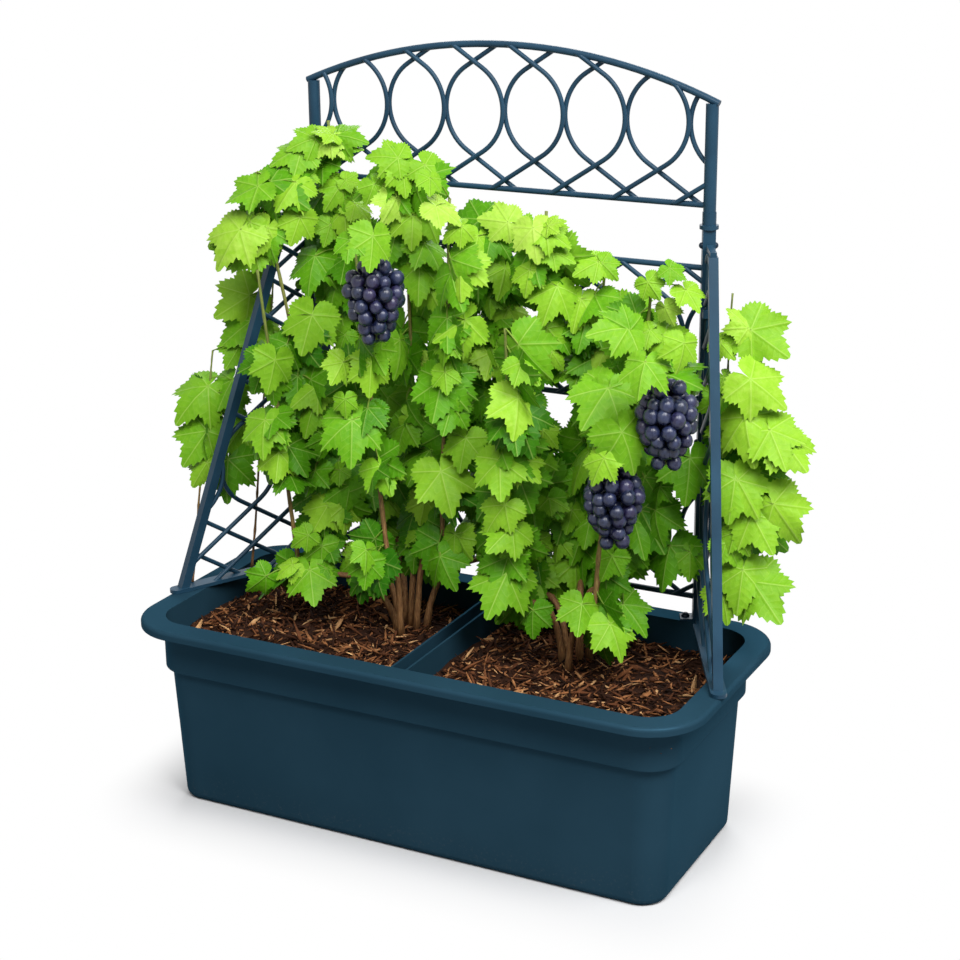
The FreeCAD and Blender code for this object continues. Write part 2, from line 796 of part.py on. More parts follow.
stile_place = "(sheet.post_width / 2 + sheet.stile_gap + sheet.stile_thick / 2)"
bar_low = "(sheet.trough_height + sheet.wing_lift)"
bar_top = "(sheet.trough_height + sheet.wing_lift + sheet.base_bar_thick)"
brace_wide = ("(sheet.brace_thick * sqrt(1 + ((sheet.wing_reach - sheet.wing_top_reach)"
              " / (%s - %s)) ^ 2))" % (wing_top_level, bar_top))


def build_base_bar(name, side):
    """Flat bar that lies on the rim, with a rounded nose and a narrow tongue at the hinge."""
    nose_place = "sheet.wing_reach + sheet.base_bar_nose"
    neck_place = "%s + sheet.base_bar_neck" % stile_place
    tail = "sheet.stile_thick / 2 + sheet.stile_margin"
    wide = block(name + "_bar_wide", "sheet.base_bar_width", "%s - (%s)" % (nose_place, neck_place),
                 "sheet.base_bar_thick", "-sheet.base_bar_width / 2", "-(%s)" % nose_place, bar_low)
    nose = rod(name + "_bar_nose", "sheet.base_bar_width / 2", "sheet.base_bar_thick",
               "0", "-(%s)" % nose_place, bar_low)
    tongue = block(name + "_bar_tongue", "sheet.base_bar_tongue", "sheet.base_bar_neck + %s" % tail,
                   "sheet.base_bar_thick", "-sheet.base_bar_tongue / 2", "-(%s)" % neck_place, bar_low)
    return finish(at_post(fuse(name + "_wing_base_bar", [wide, nose, tongue]), side))


def build_brace(name, side):
    """Sloping square bar, cut level at both ends."""
    part = document.addObject("Part::Wedge", name + "_brace_blank")
    upright = FreeCAD.Rotation(Vector(0, -1, 0), UP, Vector(-1, 0, 0), "XYZ")
    part.Placement = FreeCAD.Placement(Vector(), upright)
    half = "sheet.brace_thick / 2"
    bind(part, (
        ("Xmin", "sheet.wing_reach - %s / 2" % brace_wide),
        ("Xmax", "sheet.wing_reach + %s / 2" % brace_wide),
        ("X2min", "sheet.wing_top_reach - %s / 2" % brace_wide),
        ("X2max", "sheet.wing_top_reach + %s / 2" % brace_wide),
        ("Ymin", "0"),
        ("Ymax", "%s - %s" % (wing_top_level, bar_top)),
        ("Zmin", "-" + half),
        ("Zmax", half),
        ("Z2min", "-" + half),
        ("Z2max", half),
        (".Placement.Base.z", bar_top),
    ))
    return finish(at_post(group(name + "_wing_brace", [part]), side))


def build_stile(name, side):
    """Round hinge rod that stands on the base bar."""
    part = rod(name + "_stile_rod", "sheet.stile_thick / 2", "%s - %s" % (wing_top_level, bar_top),
               "0", "-" + stile_place, bar_top)
    return finish(at_post(group(name + "_wing_stile", [part]), side))


def build_strap(name, side):
    """Short flat strap across the tops of the hinge rod and the brace."""
    far = "sheet.wing_top_reach + %s / 2" % brace_wide
    near = "%s - sheet.stile_thick / 2" % stile_place
    part = block(name + "_strap_bar", "sheet.strap_width", "%s - (%s)" % (far, near), "sheet.strap_thick",
                 "-sheet.strap_width / 2", "-(%s)" % far, wing_top_level)
    return finish(at_post(group(name + "_wing_strap", [part]), side))


def build_clips(name, side):
    """Two clips on the post that hold the hinge rod and let it turn."""
    links = []
    places = (
        ("lower", above_rim("lower_clip_height")),
        ("upper", "(%s - sheet.upper_clip_drop)" % wing_top_level),
    )
    for tag, level in places:
        low = level + " - sheet.clip_tall / 2"
        far = "(%s + sheet.stile_thick / 2 + sheet.clip_wall)" % stile_place
        body = block("%s_%s_clip_block" % (name, tag), "sheet.clip_width",
                     "%s - sheet.post_width / 2" % far, "sheet.clip_tall",
                     "-sheet.clip_width / 2", "-" + far, low)
        bore = rod("%s_%s_clip_bore" % (name, tag), "sheet.stile_thick / 2 + sheet.clip_clearance",
                   "sheet.clip_tall", "0", "-" + stile_place, low)
        links.append(cut("%s_%s_clip" % (name, tag), body, bore))
    return finish(at_post(group(name + "_hinge_clips", links), side))


def build_wing_wires(name, side):
    """Both layers of wires of one wing, drawn with X along the wing and then turned to its place."""
    low = measure(bar_top)
    high = measure(wing_top_level)
    inner = measure(brace_wide) / 2
    deep = size("brace_thick")
    start = measure(stile_place)
    corners = (
        (start, low),
        (size("wing_reach") - inner, low),
        (size("wing_top_reach") - inner, high),
        (start, high),
    )
    outline = [Vector(x, -deep, z) for x, z in corners]
    inside = Part.Face(Part.makePolygon(outline + outline[:1])).extrude(Vector(0, 2 * deep, 0))
    stile = Part.makeCylinder(size("stile_thick") / 2, high, Vector(start, 0, 0))
    level = measure(above_rim("wing_contact_height"))
    drop = level - low + size("wire_thick")
    rise = high - level + size("wire_thick")
    run = math.tan(math.radians(size("wire_sweep")))
    most = int((size("wing_reach") + rise * run) / size("wire_pitch")) + 1
    for layer, bulge, offset in (("front", -1, -layer_depth()), ("back", 1, layer_depth())):
        wires = []
        for count in range(-most, most + 1):
            contact = size("wing_contact_reach") + count * size("wire_pitch")
            wire = bent_wire(contact, level, bulge, side * offset, drop, rise)
            wires.extend(trimmed(wire, inside, [stile]))
        shape = Part.makeCompound(wires)
        shape.rotate(Vector(), UP, -90)
        part = set_shape("%s_wing_%s_wires" % (name, layer), shape)
        part.Placement = post_place(side).multiply(part.Placement)
        finish(part)


def build_wings():
    """Both wings with the clips that hang them on the posts."""
    for name, side in sides:
        build_base_bar(name, side)
        build_brace(name, side)
        build_stile(name, side)
        build_strap(name, side)
        build_clips(name, side)
        build_wing_wires(name, side)


# Vines: canes in flat layers in front of the trellis, with leaves to both sides

# Shares are of the post spread across, of half the rim width in depth and of the trellis height
# Each shoot: root across, root depth, knee across, layer depth, knee height, tip across, tip height

left_shoot_shares = (
    (-0.37, 0.38, -0.56, 0.73, 0.10, -0.86, 0.93),
    (-0.33, 0.34, -0.33, 0.52, 0.08, -0.40, 0.90),
    (-0.38, 0.31, -0.72, 0.31, 0.10, -1.09, 0.84),
    (-0.37, 0.25, -0.85, 0.10, 0.06, -1.02, 0.66),
    (-0.32, 0.16, -0.36, 0.10, 0.11, -0.50, 0.76),
    (-0.28, 0.29, -0.14, 0.31, 0.14, -0.08, 0.82),
    (-0.26, 0.38, -0.03, 0.73, 0.08, 0.02, 0.79),
)
right_shoot_shares = (
    (0.50, 0.34, 0.25, 0.52, 0.06, 0.33, 0.80),
    (0.54, 0.40, 0.45, 0.73, 0.08, 0.56, 0.72),
    (0.57, 0.30, 0.67, 0.31, 0.10, 0.84, 0.60),
    (0.60, 0.36, 0.72, 0.52, 0.10, 0.84, 0.70),
    (0.50, 0.25, 0.30, 0.10, 0.07, 0.26, 0.60),
    (0.56, 0.14, 0.70, 0.10, 0.06, 0.78, 0.50),
)

# Shares of the leaf's length: distance from the stalk's end along the leaf, and half width there

leaf_outline_shares = (
    (-0.12, 0.15),
    (-0.06, 0.44),
    (0.14, 0.50),
    (0.36, 0.60),
    (0.52, 0.42),
    (0.76, 0.32),
)
stalk_half_share = 0.018
leaf_reach_shares = (0.66, 0.36, -0.66)
wing_leaf_reach_shares = (0.82, 0.16, -0.55)
leaf_facing_shares = (0.20, 0.95, 0.25)
leaf_size_shares = (1.0, 0.86, 1.06, 0.92)


def spread_point(across_share, depth_share, level):
    """A point given by shares across and in depth, at a level."""
    return Vector(across_share * measure(post_spread), depth_share * size("rim_width") / 2, level)


def trellis_level(share):
    """A level given as a share of the trellis height above the rim."""
    rim = size("trough_height")
    return rim + share * (measure(arch_spring_level) - rim)


def tube(first, second, thick):
    """A straight round length between two points."""
    return Part.makeCylinder(thick / 2, (second - first).Length, first, second - first)


def cane(points, thick):
    """Straight lengths joined by round knees."""
    shape = tube(points[0], points[1], thick)
    for before, after in zip(points[1:-1], points[2:]):
        shape = shape.fuse([Part.makeSphere(thick / 2, before), tube(before, after, thick)])
    return shape.removeSplitter()


def planted(first, rest, thick):
    """A cane that stands on a level surface, cut flat where it meets it."""
    below = first + (first - rest[0]).normalize() * (2 * thick)
    length = size("rim_length")
    ground = Part.makeBox(2 * length, 2 * length, length, Vector(-length, -length, first.z - length))
    return cane([below] + rest, thick).cut(ground)


def leaf(joint, way, along, facing, thick_of_cane, grown):
    """A thin lobed leaf with its stalk, starting at the surface of a cane that runs a given way."""
    along = Vector(along).normalize()
    facing = Vector(facing)
    facing = (facing - along * facing.dot(along)).normalize()
    across = facing.cross(along)
    length = size("leaf_length") * grown
    stalk = size("petiole_length") * grown
    half = stalk_half_share * length
    out = along - way * along.dot(way)
    steepness = out.Length
    out.normalize()
    tilt = half * abs(across.dot(out)) + size("leaf_thick") / 2 * abs(facing.dot(out))
    start = (thick_of_cane / 2 + size("leaf_root_gap") + tilt) / steepness
    edge = [(start, half), (stalk, half)]
    edge += [(stalk + u * length, v * length) for u, v in leaf_outline_shares]
    points = edge + [(stalk + length, 0)] + [(u, -v) for u, v in reversed(edge)]
    lift = facing * (-size("leaf_thick") / 2)
    outline = [joint + along * u + across * v + lift for u, v in points]
    return Part.Face(Part.makePolygon(outline + outline[:1])).extrude(facing * size("leaf_thick"))


def leaves_on(first, last, thick, outward, forward, hands, reach_shares, keep_clear):
    """Leaves along a straight cane, alternately to each hand, left out where something hangs."""
    shapes = []
    rise = last - first
    way = Vector(rise).normalize()
    count = int(rise.z / size("leaf_spacing"))
    for hand_number, hand in enumerate(hands):
        for number in range(count):
            share = (number + 1 - hand_number / len(hands)) / count
            joint = first + rise * share
            along = outward * (hand * reach_shares[0]) + forward * reach_shares[1] + UP * reach_shares[2]
            facing = (outward * (hand * leaf_facing_shares[0]) + forward * leaf_facing_shares[1]
                      + UP * leaf_facing_shares[2])
            grown = leaf_size_shares[(number + 2 * hand_number) % len(leaf_size_shares)]
            middle = joint + Vector(along).normalize() * (size("petiole_length") + size("leaf_length") / 2)
            if all((middle - spot).Length > size("bunch_length") * clear_share for spot in keep_clear):
                shapes.append(leaf(joint, way, along, facing, thick, grown))
    return shapes


# Grapes: rings of berries about a stalk that hangs from a cane

# Each bunch: cane number, height of its stalk's joint, across, depth and top height as shares

bunch_shares = {
    "left_grapes": (left_shoot_shares[4], 0.740, -0.316, -0.11, 0.721),
    "right_high_grapes": (right_shoot_shares[2], 0.575, 1.063, -0.05, 0.552),
    "right_low_grapes": (right_shoot_shares[5], 0.420, 0.843, -0.11, 0.393),
}
bunch_ring_shares = (0.55, 0.95, 1.0, 0.85, 0.62, 0.36)
clear_share = 0.72


def bunch_middle(name):
    """The middle of a bunch, which leaves are kept clear of."""
    shoot, joint_share, across, depth, top = bunch_shares[name]
    return spread_point(across, depth, trellis_level(top) - size("bunch_length") / 2)


def shoot_points(shoot):
    """Root, knee and tip of a shoot."""
    root = spread_point(shoot[0], shoot[1], measure(mulch_top))
    knee = spread_point(shoot[2], shoot[3], trellis_level(shoot[4]))
    tip = spread_point(shoot[5], shoot[3], trellis_level(shoot[6]))
    return root, knee, tip


def build_bunch(name):
    """One bunch: a hooked stalk and rings of berries around it."""
    shoot, joint_share, across, depth, top = bunch_shares[name]
    root, knee, tip = shoot_points(shoot)
    level = trellis_level(joint_share)
    joint = knee + (tip - knee) * ((level - knee.z) / (tip.z - knee.z))
    crown = spread_point(across, depth, trellis_level(top))
    berry = size("berry_width")
    thick = size("bunch_stalk")
    step = berry + size("berry_gap")
    foot = crown - UP * (step * len(bunch_ring_shares))
    way = Vector(crown - joint).normalize()
    lean = abs(way.dot(Vector(tip - knee).normalize()))
    reach = size("cane_thick") / 2 + size("leaf_root_gap") + lean * thick / 2
    start = joint + way * (reach / math.sqrt(1 - lean * lean))
    shapes = [cane([start, crown, foot], thick)]
    for number, ring_share in enumerate(bunch_ring_shares):
        inner = thick / 2 + size("berry_gap") + berry / 2
        radius = max(inner, (size("bunch_width") - berry) / 2 * ring_share)
        level = crown.z - step * (number + 1 / 2)
        fitting = math.pi / math.asin(min(1, (berry + size("berry_gap")) / (2 * radius)))
        for place in range(int(fitting)):
            angle = 2 * math.pi * (place + number / 2) / int(fitting)
            out = Vector(math.cos(angle), math.sin(angle), 0)
            axis = Vector(crown.x, crown.y, level)
            ball = Part.makeSphere(berry / 2, axis + out * radius)
            stem = tube(axis + out * (thick / 2 + size("leaf_root_gap")), axis + out * radius,
                        size("berry_stem"))
            shapes.append(ball.fuse(stem))
    return finish(set_shape(name, Part.makeCompound(shapes)))


def build_vines():
    """Both vines: canes, leaves and grapes."""
    clear = [bunch_middle(name) for name in bunch_shares]
    for name, shoots in (("left", left_shoot_shares), ("right", right_shoot_shares)):
        canes = []
        leaves = []
        for shoot in shoots:
            root, knee, tip = shoot_points(shoot)
            canes.append(planted(root, [knee, tip], size("cane_thick")))
            leaves += leaves_on(knee, tip, size("cane_thick"), Vector(1, 0, 0), Vector(0, -1, 0),
                                (1, -1), leaf_reach_shares, clear)
        finish(set_shape(name + "_vine_canes", Part.makeCompound(canes)))
        finish(set_shape(name + "_vine_leaves", Part.makeCompound(leaves)))
    for name in bunch_shares:
        build_bunch(name)


# Canes tied to the outside of the wings, with leaves turned outwards

# Each cane: reach along the wing at foot and tip, height of tip and of first leaf, lean of the tip

wing_cane_shares = {
    "left": ((0.92, 0.58, 0.46, 0.20, 0.24), (0.52, 0.18, 0.72, 0.34, 0.12)),
    "right": ((0.16, 0.12, 0.66, 0.14, 0.08), (0.46, 0.30, 0.56, 0.10, 0.20)),
}


def build_wing_vines():
    """The canes and leaves carried by each wing."""
    for name, side in sides:
        thick = size("wing_cane_thick")
        layers = layer_depth() + size("wire_thick") / 2
        out = layers + size("wing_cane_gap") + thick / 2
        low = measure(bar_top)
        canes = []
        leaves = []
        for foot_share, tip_share, tip_height, leaf_height, lean_share in wing_cane_shares[name]:
            foot = Vector(side * out, -foot_share * size("wing_reach"), low)
            lean = lean_share * size("wing_reach")
            tip = Vector(side * (out + lean), -tip_share * size("wing_reach"), trellis_level(tip_height))
            start = foot + (tip - foot) * ((trellis_level(leaf_height) - low) / (tip.z - low))
            canes.append(planted(foot, [tip], thick))
            leaves += leaves_on(start, tip, thick, Vector(side, 0, 0), Vector(0, -1, 0), (1,),
                                wing_leaf_reach_shares, [])
        for kind, shapes in (("canes", canes), ("leaves", leaves)):
            part = set_shape("%s_wing_%s" % (name, kind), Part.makeCompound(shapes))
            part.Placement = post_place(side)
            finish(part)


build_trough()
build_divider()
build_mulch()
build_posts()
build_back_panels()
build_arch_panel()
build_wings()
build_vines()
build_wing_vines()
document.recompute()

# Check every object, then write one file per piece

for item in document.Objects:
    if "Invalid" in item.State or "Error" in item.State:
        raise RuntimeError("not built: " + item.Label)
os.makedirs("parts", exist_ok=True)
for part in finished:
    if part.Shape.isNull() or not part.Shape.isValid():
        raise RuntimeError("bad shape: " + part.Label)
    part.Shape.exportStep("parts/%s.step" % part.Label)
    print(part.Label, len(part.Shape.Solids), round(part.Shape.Volume))
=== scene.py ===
# %% [markdown]
# # A divided trough planter with a wire trellis and two vines
# The trough, posts, rails, wires and fasteners come from the CAD model, which is loaded first
# and never moved. Blender gives them their finishes, and replaces the plain CAD mulch, canes,
# leaves and grapes with living ones that stand in the same places.

# %% Load the frame
import math

import bpy
import numpy as np
from mathutils import Matrix, Vector


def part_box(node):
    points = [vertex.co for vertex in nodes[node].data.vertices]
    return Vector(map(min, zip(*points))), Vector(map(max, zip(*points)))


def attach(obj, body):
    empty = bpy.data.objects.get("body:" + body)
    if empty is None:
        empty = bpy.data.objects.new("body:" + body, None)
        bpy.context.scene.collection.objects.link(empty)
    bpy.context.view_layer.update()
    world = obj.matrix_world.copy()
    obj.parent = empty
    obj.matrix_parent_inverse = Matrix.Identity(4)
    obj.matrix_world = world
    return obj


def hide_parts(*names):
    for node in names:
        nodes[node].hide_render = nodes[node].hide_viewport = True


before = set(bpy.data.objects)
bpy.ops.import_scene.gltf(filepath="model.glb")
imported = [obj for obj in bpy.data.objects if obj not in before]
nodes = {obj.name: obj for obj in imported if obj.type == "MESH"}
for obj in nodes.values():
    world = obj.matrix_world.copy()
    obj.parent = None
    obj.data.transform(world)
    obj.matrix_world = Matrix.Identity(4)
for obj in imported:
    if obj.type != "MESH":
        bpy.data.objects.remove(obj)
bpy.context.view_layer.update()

# %% [markdown]
# ## Places that the frame gives
# Every new piece is placed from the CAD nodes, so the numbers here are read from them: the top of
# the rim, the top of the mulch, and the axis of the right post. Only what no single node shows,
# such as the angle of the wings, is written as a number.

# %% Named places
rim_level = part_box("trough")[1].z
mulch_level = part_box("mulch_left")[1].z
floor_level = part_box("mulch_left")[0].z
rim_half_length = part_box("trough")[1].x
rim_half_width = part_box("trough")[1].y
post_low, post_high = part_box("right_lower_post")
post_x = (post_low.x + post_high.x) / 2
post_y = (post_low.y + post_high.y) / 2
bar_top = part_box("right_wing_base_bar")[1].z
sides = {"left": -1, "right": 1}
trellis_height = 0.675
wing_splay = math.radians(26.8)
wing_reach = 0.2362
UP = np.array((0.0, 0.0, 1.0))
RIGHT = np.array((1.0, 0.0, 0.0))
FORWARD = np.array((0.0, -1.0, 0.0))
LEVEL = RIGHT - FORWARD  # 1 in both level directions and 0 upwards
print("rim level", round(rim_level, 4), "mulch level", round(mulch_level, 4))
print("right post at", round(post_x, 4), round(post_y, 4))

# %% [markdown]
# ## The eye of the picture
# The camera's place, three angles and focal length were worked out from the corners of the trough
# and the trellis. They are kept here, before anything is modelled, because the leaves at the front
# of the vines are set out by where the picture shows them.

# %% Viewing rays
picture_size = 960
eye = np.array((1.165316, -2.184031, 1.283921))
lens_mm, sensor_mm = 76.366, 36.0
yaw, pitch, roll = (math.radians(angle) for angle in (27.1346, 18.3189, -0.4888))
ahead = np.array((-math.sin(yaw) * math.cos(pitch), math.cos(yaw) * math.cos(pitch), -math.sin(pitch)))
level_right = np.array((math.cos(yaw), math.sin(yaw), 0.0))
level_up = np.cross(level_right, ahead)
screen_right = level_right * math.cos(roll) + level_up * math.sin(roll)
screen_up = level_up * math.cos(roll) - level_right * math.sin(roll)
focal = lens_mm / sensor_mm * picture_size


def unit(vectors):
    """Each vector divided by its own length."""
    return vectors / np.linalg.norm(vectors, axis=-1, keepdims=True)


def ray_to(pixels):
    """Unit direction from the eye through each pixel: ahead, plus the pixel's offset from the middle of
    the picture over the focal length."""
    offset = (np.asarray(pixels, float) - picture_size / 2) / focal
    return unit(ahead + offset[..., :1] * screen_right - offset[..., 1:2] * screen_up)


def pixel_of(points):
    """Where the picture shows each point: its sideways and upward distance over its distance ahead."""
    away = points - eye
    deep = away @ ahead
    across = np.stack((away @ screen_right, -(away @ screen_up)), axis=-1)
    return picture_size / 2 + focal * across / deep[..., None]


print("rim corner at pixel", pixel_of(np.array((rim_half_length, -rim_half_width, rim_level))).round(1))

# %% [markdown]
# ## Small tools for materials
# A finish is a tree of nodes. Writing each link by hand hides what the finish does, so a few
# helpers do the wiring: one adds any node, some do arithmetic on sockets, and others turn a value
# into a colour or make clouds of noise. Colours are written as the 0 to 255 numbers of a paint
# chart.

# %% Material helpers


def paint(red, green, blue):
    """A chart colour as the linear colour that a shader works in: ((c + 0.055) / 1.055) ^ 2.4."""
    chart = np.array((red, green, blue)) / 255
    curve = ((chart + 0.055) / 1.055) ** 2.4
    return (*np.where(chart < 0.04045, chart / 12.92, curve), 1.0)


def wire(tree, node, inputs):
    """Give each named input of a node a number or the socket that feeds it."""
    for name, value in inputs.items():
        if isinstance(value, bpy.types.NodeSocket):
            tree.links.new(value, node.inputs[name])
        else:
            node.inputs[name].default_value = value


def add_node(tree, kind, inputs, **settings):
    """Add a node, set its properties and wire its inputs."""
    node = tree.nodes.new("ShaderNode" + kind)
    for name, value in settings.items():
        setattr(node, name, value)
    wire(tree, node, inputs)
    return node


def calc(tree, operation, first, second=0.0):
    """One step of arithmetic on two sockets or numbers."""
    return add_node(tree, "Math", {0: first, 1: second}, operation=operation).outputs[0]


def times(tree, first, second):
    """The product of two sockets or numbers."""
    return calc(tree, "MULTIPLY", first, second)


def between(tree, value, low, high):
    """Low where the value is 0, high where it is 1, and in even steps between."""
    return add_node(tree, "MapRange", {"Value": value, "To Min": low, "To Max": high}).outputs[0]


def fade(tree, value, low, high):
    """1 where the value is at low, 0 where it is at high, and a soft step between."""
    limits = {"Value": value, "From Min": low, "From Max": high, "To Min": 1.0, "To Max": 0.0}
    return add_node(tree, "MapRange", limits, interpolation_type="SMOOTHSTEP").outputs[0]


def colours(tree, value, *stops):
    """A ramp from pairs of place and colour."""
    ramp = add_node(tree, "ValToRGB", {"Fac": value})
    points = ramp.color_ramp.elements
    while len(points) < len(stops):
        points.new(1.0)
    for point, (place, colour) in zip(points, stops):
        point.position = place
        point.color = colour
    return ramp.outputs["Color"]


def mix(tree, share, first, second):
    """The first colour where the share is 0, the second where it is 1."""
    parts = {0: share, 6: first, 7: second}
    return add_node(tree, "Mix", parts, data_type="RGBA").outputs[2]


def noise(tree, place, scale, detail=2.0, roughness=0.5):
    """Cloudy values about a half, with so many clouds to the metre."""
    parts = {"Vector": place, "Scale": scale, "Detail": detail, "Roughness": roughness}
    return add_node(tree, "TexNoise", parts).outputs["Fac"]


def per_point(tree, name):
    """A value that the mesh keeps for each of its points."""
    return add_node(tree, "Attribute", {}, attribute_name=name).outputs["Fac"]


def start_finish(name):
    """A new material: the material, its tree, its shader and the piece's own coordinates."""
    material = bpy.data.materials.new(name)
    material.use_nodes = True
    tree = material.node_tree
    place = add_node(tree, "TexCoord", {}).outputs["Object"]
    print("finish:", name)
    return material, tree, tree.nodes["Principled BSDF"], place


def raise_bump(tree, shader, height, distance, strength=1.0):
    """Let a height, times a distance in metres, tilt the surface."""
    parts = {"Height": height, "Distance": distance, "Strength": strength}
    wire(tree, shader, {"Normal": add_node(tree, "Bump", parts).outputs["Normal"]})


# %% [markdown]
# ## Moulded plastic of the trough and divider
# The trough is moulded in a dark slate blue with a fine satin grain. A flat colour would look like
# a drawing, so the tone drifts slowly over the wall, a fine grain breaks up the shine, and a
# thin film of dust lies low on the walls where rain splashes. Clear gloss would turn the walls
# grey, so the satin comes from a small share of metal with a blue tint instead.

# %% Trough plastic


def trough_plastic():
    """Slate blue plastic: drifting tone, dust near the ground, and a sand-fine grain."""
    material, tree, shader, place = start_finish("trough_plastic")
    drift = noise(tree, place, 5.0, 3.0)
    grain = noise(tree, place, 1400.0, 2.0)
    tone = colours(tree, drift, (0.3, paint(36, 65, 81)), (0.7, paint(43, 73, 90)))
    height = add_node(tree, "SeparateXYZ", {"Vector": place}).outputs["Z"]
    specks = fade(tree, noise(tree, place, 260.0, 4.0, 0.7), 0.72, 0.55)
    dust = times(tree, times(tree, fade(tree, height, 0.0, 0.07), specks), 0.35)
    wire(tree, shader, {
        "Base Color": mix(tree, dust, tone, paint(92, 100, 104)),
        "Roughness": between(tree, drift, 0.27, 0.36),
        "Specular IOR Level": 0.0,
        "Metallic": 0.14,
        "Specular Tint": paint(186, 222, 244),
    })
    raise_bump(tree, shader, grain, 0.00012, 0.5)
    return material


# %% [markdown]
# ## Powder coat of the trellis
# Tube, wire and bar share one dark blue powder coat. Baked powder flows into a faint orange-peel
# skin, which a low, soft bump gives, and it rubs a little paler in places.

# %% Powder coat


def powder_coat(name, dark, pale, roughness):
    """Baked paint: orange-peel bump about 2 mm wide and slow changes of tone."""
    material, tree, shader, place = start_finish(name)
    drift = noise(tree, place, 14.0, 4.0)
    peel = noise(tree, place, 520.0, 1.0)
    wire(tree, shader, {
        "Base Color": colours(tree, drift, (0.32, dark), (0.72, pale)),
        "Roughness": between(tree, drift, roughness, roughness + 0.1),
        "Specular IOR Level": 0.20,
    })
    raise_bump(tree, shader, peel, 0.0002, 0.35)
    return material


# %% [markdown]
# ## Give the CAD nodes their finishes
# The CAD nodes stay as they are and only change material. Names tell what each one is made of:
# the trough and divider are plastic, bolts, nuts and screws are painted fasteners, and what is
# left of the frame is coated steel. Mulch and plants are replaced further on.

# %% Finishes on the frame
plant_words = ("mulch", "canes", "leaves", "grapes")
fastener_words = ("bolts", "nuts", "screws")
plastic = trough_plastic()
steel = powder_coat("trellis_steel", paint(27, 56, 76), paint(40, 74, 96), 0.34)
fastener = powder_coat("fastener", paint(20, 36, 52), paint(30, 50, 70), 0.28)


def finish_of(name):
    """The material that a CAD node's name calls for."""
    if name in ("trough", "divider"):
        return plastic
    if any(word in name for word in fastener_words):
        return fastener
    return steel


kept_nodes = [name for name in nodes if not any(word in name for word in plant_words)]
for name in kept_nodes:
    nodes[name].data.materials.clear()
    nodes[name].data.materials.append(finish_of(name))
print("finished CAD nodes:", len(kept_nodes))

# %% [markdown]
# ## From arrays to a mesh
# Each new piece is worked out as whole numpy arrays: points, faces and a few values per point,
# such as a tone that the material reads. One helper puts them into a mesh, gives it a smooth
# surface, hangs it on the body that it rides on and hides the CAD nodes that it stands for.

# %% Mesh helpers
random = np.random.default_rng(31)


def grid_faces(rows, columns, closed):
    """Four-cornered faces between neighbours of a grid. A closed grid joins its last column to its
    first."""
    across = np.arange(columns if closed else columns - 1)
    row, column = np.meshgrid(np.arange(rows - 1), across, indexing="ij")
    after = (column + 1) % columns
    corners = (row * columns + column, row * columns + after,
               (row + 1) * columns + after, (row + 1) * columns + column)
    return np.stack(corners, axis=-1).reshape(-1, 4)


def repeat_faces(faces, copies, points_each):
    """The same faces for many copies of one shape, each with its own points."""
    shift = np.arange(copies)[:, None, None] * points_each
    return (faces[None] + shift).reshape(-1, faces.shape[-1])


def add_piece(name, points, faces, material, body, replaced, values=None, places=None):
    """Make one piece from an array of points, arrays of faces, values for each point and places on a
    flat map."""
    mesh = bpy.data.meshes.new(name)
    listed = [corner for array in faces for corner in array.tolist()]
    mesh.from_pydata(points.reshape(-1, 3).tolist(), [], listed)
    for key, numbers in (values or {}).items():
        mesh.attributes.new(key, "FLOAT", "POINT").data.foreach_set("value", np.ravel(numbers))
    if places is not None:
        corner_points = np.empty(len(mesh.loops), dtype=np.int32)
        mesh.loops.foreach_get("vertex_index", corner_points)
        flat = places.reshape(-1, 2)[corner_points]
        mesh.uv_layers.new(name="flat").data.foreach_set("uv", flat.ravel())
    mesh.shade_smooth()
    mesh.materials.append(material)
    piece = bpy.data.objects.new(name, mesh)
    bpy.context.scene.collection.objects.link(piece)
    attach(piece, body)
    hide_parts(*replaced)
    low, high = points.reshape(-1, 3).min(axis=0), points.reshape(-1, 3).max(axis=0)
    print(name, "faces:", len(mesh.polygons), "from", low.round(3), "to", high.round(3))
    return piece


# %% [markdown]
# ## Bark mulch: the bed
# Each half of the trough is filled with shredded bark. The bed is one closed lump: a top that
# rises and falls by a few millimetres, sides that follow the trough's stepped wall, and a flat
# underside. The top is a grid over two shares, one along the trough and one across it, and the
# rounded end comes from the equation of a circle.

# %% Mulch bed
wall_clearance, divider_clearance = 0.0036, 0.0004
neck_inset, neck_corner = 0.030, 0.046
body_inset, body_corner = 0.038, 0.040
base_inset, base_corner = 0.047, 0.034
divider_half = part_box("divider")[1].x + divider_clearance
ledge_level = 0.1942
slow_rise, quick_rise = 0.0035, 0.0018


def bed_points(side, inset, corner, along, across):
    """x runs by a share from the divider to the end wall; y by a share of the half width there,
    which is full along the straight wall and follows a circle round the corner."""
    end = rim_half_length - inset - wall_clearance
    wide = rim_half_width - inset - wall_clearance
    radius = corner - wall_clearance
    x = divider_half + (end - divider_half) * along
    past = np.clip(x - (end - radius), 0, radius)
    half = wide - radius + np.sqrt(np.maximum(radius ** 2 - past ** 2, 0))
    return side * x, half * across


def bed_height(x, y):
    """Rise of the bark above its mean level in metres: slow waves about 300 mm long, lengthwise times
    crosswise, and a ripple about 70 mm long, one slant times the other."""
    slow = slow_rise * np.sin(17 * x + 1.3) * np.cos(23 * y + 0.4)
    quick = quick_rise * np.sin(71 * x - 53 * y) * np.cos(64 * x + 47 * y + 0.7)
    return slow + quick


bed_rows, bed_columns = 64, 56


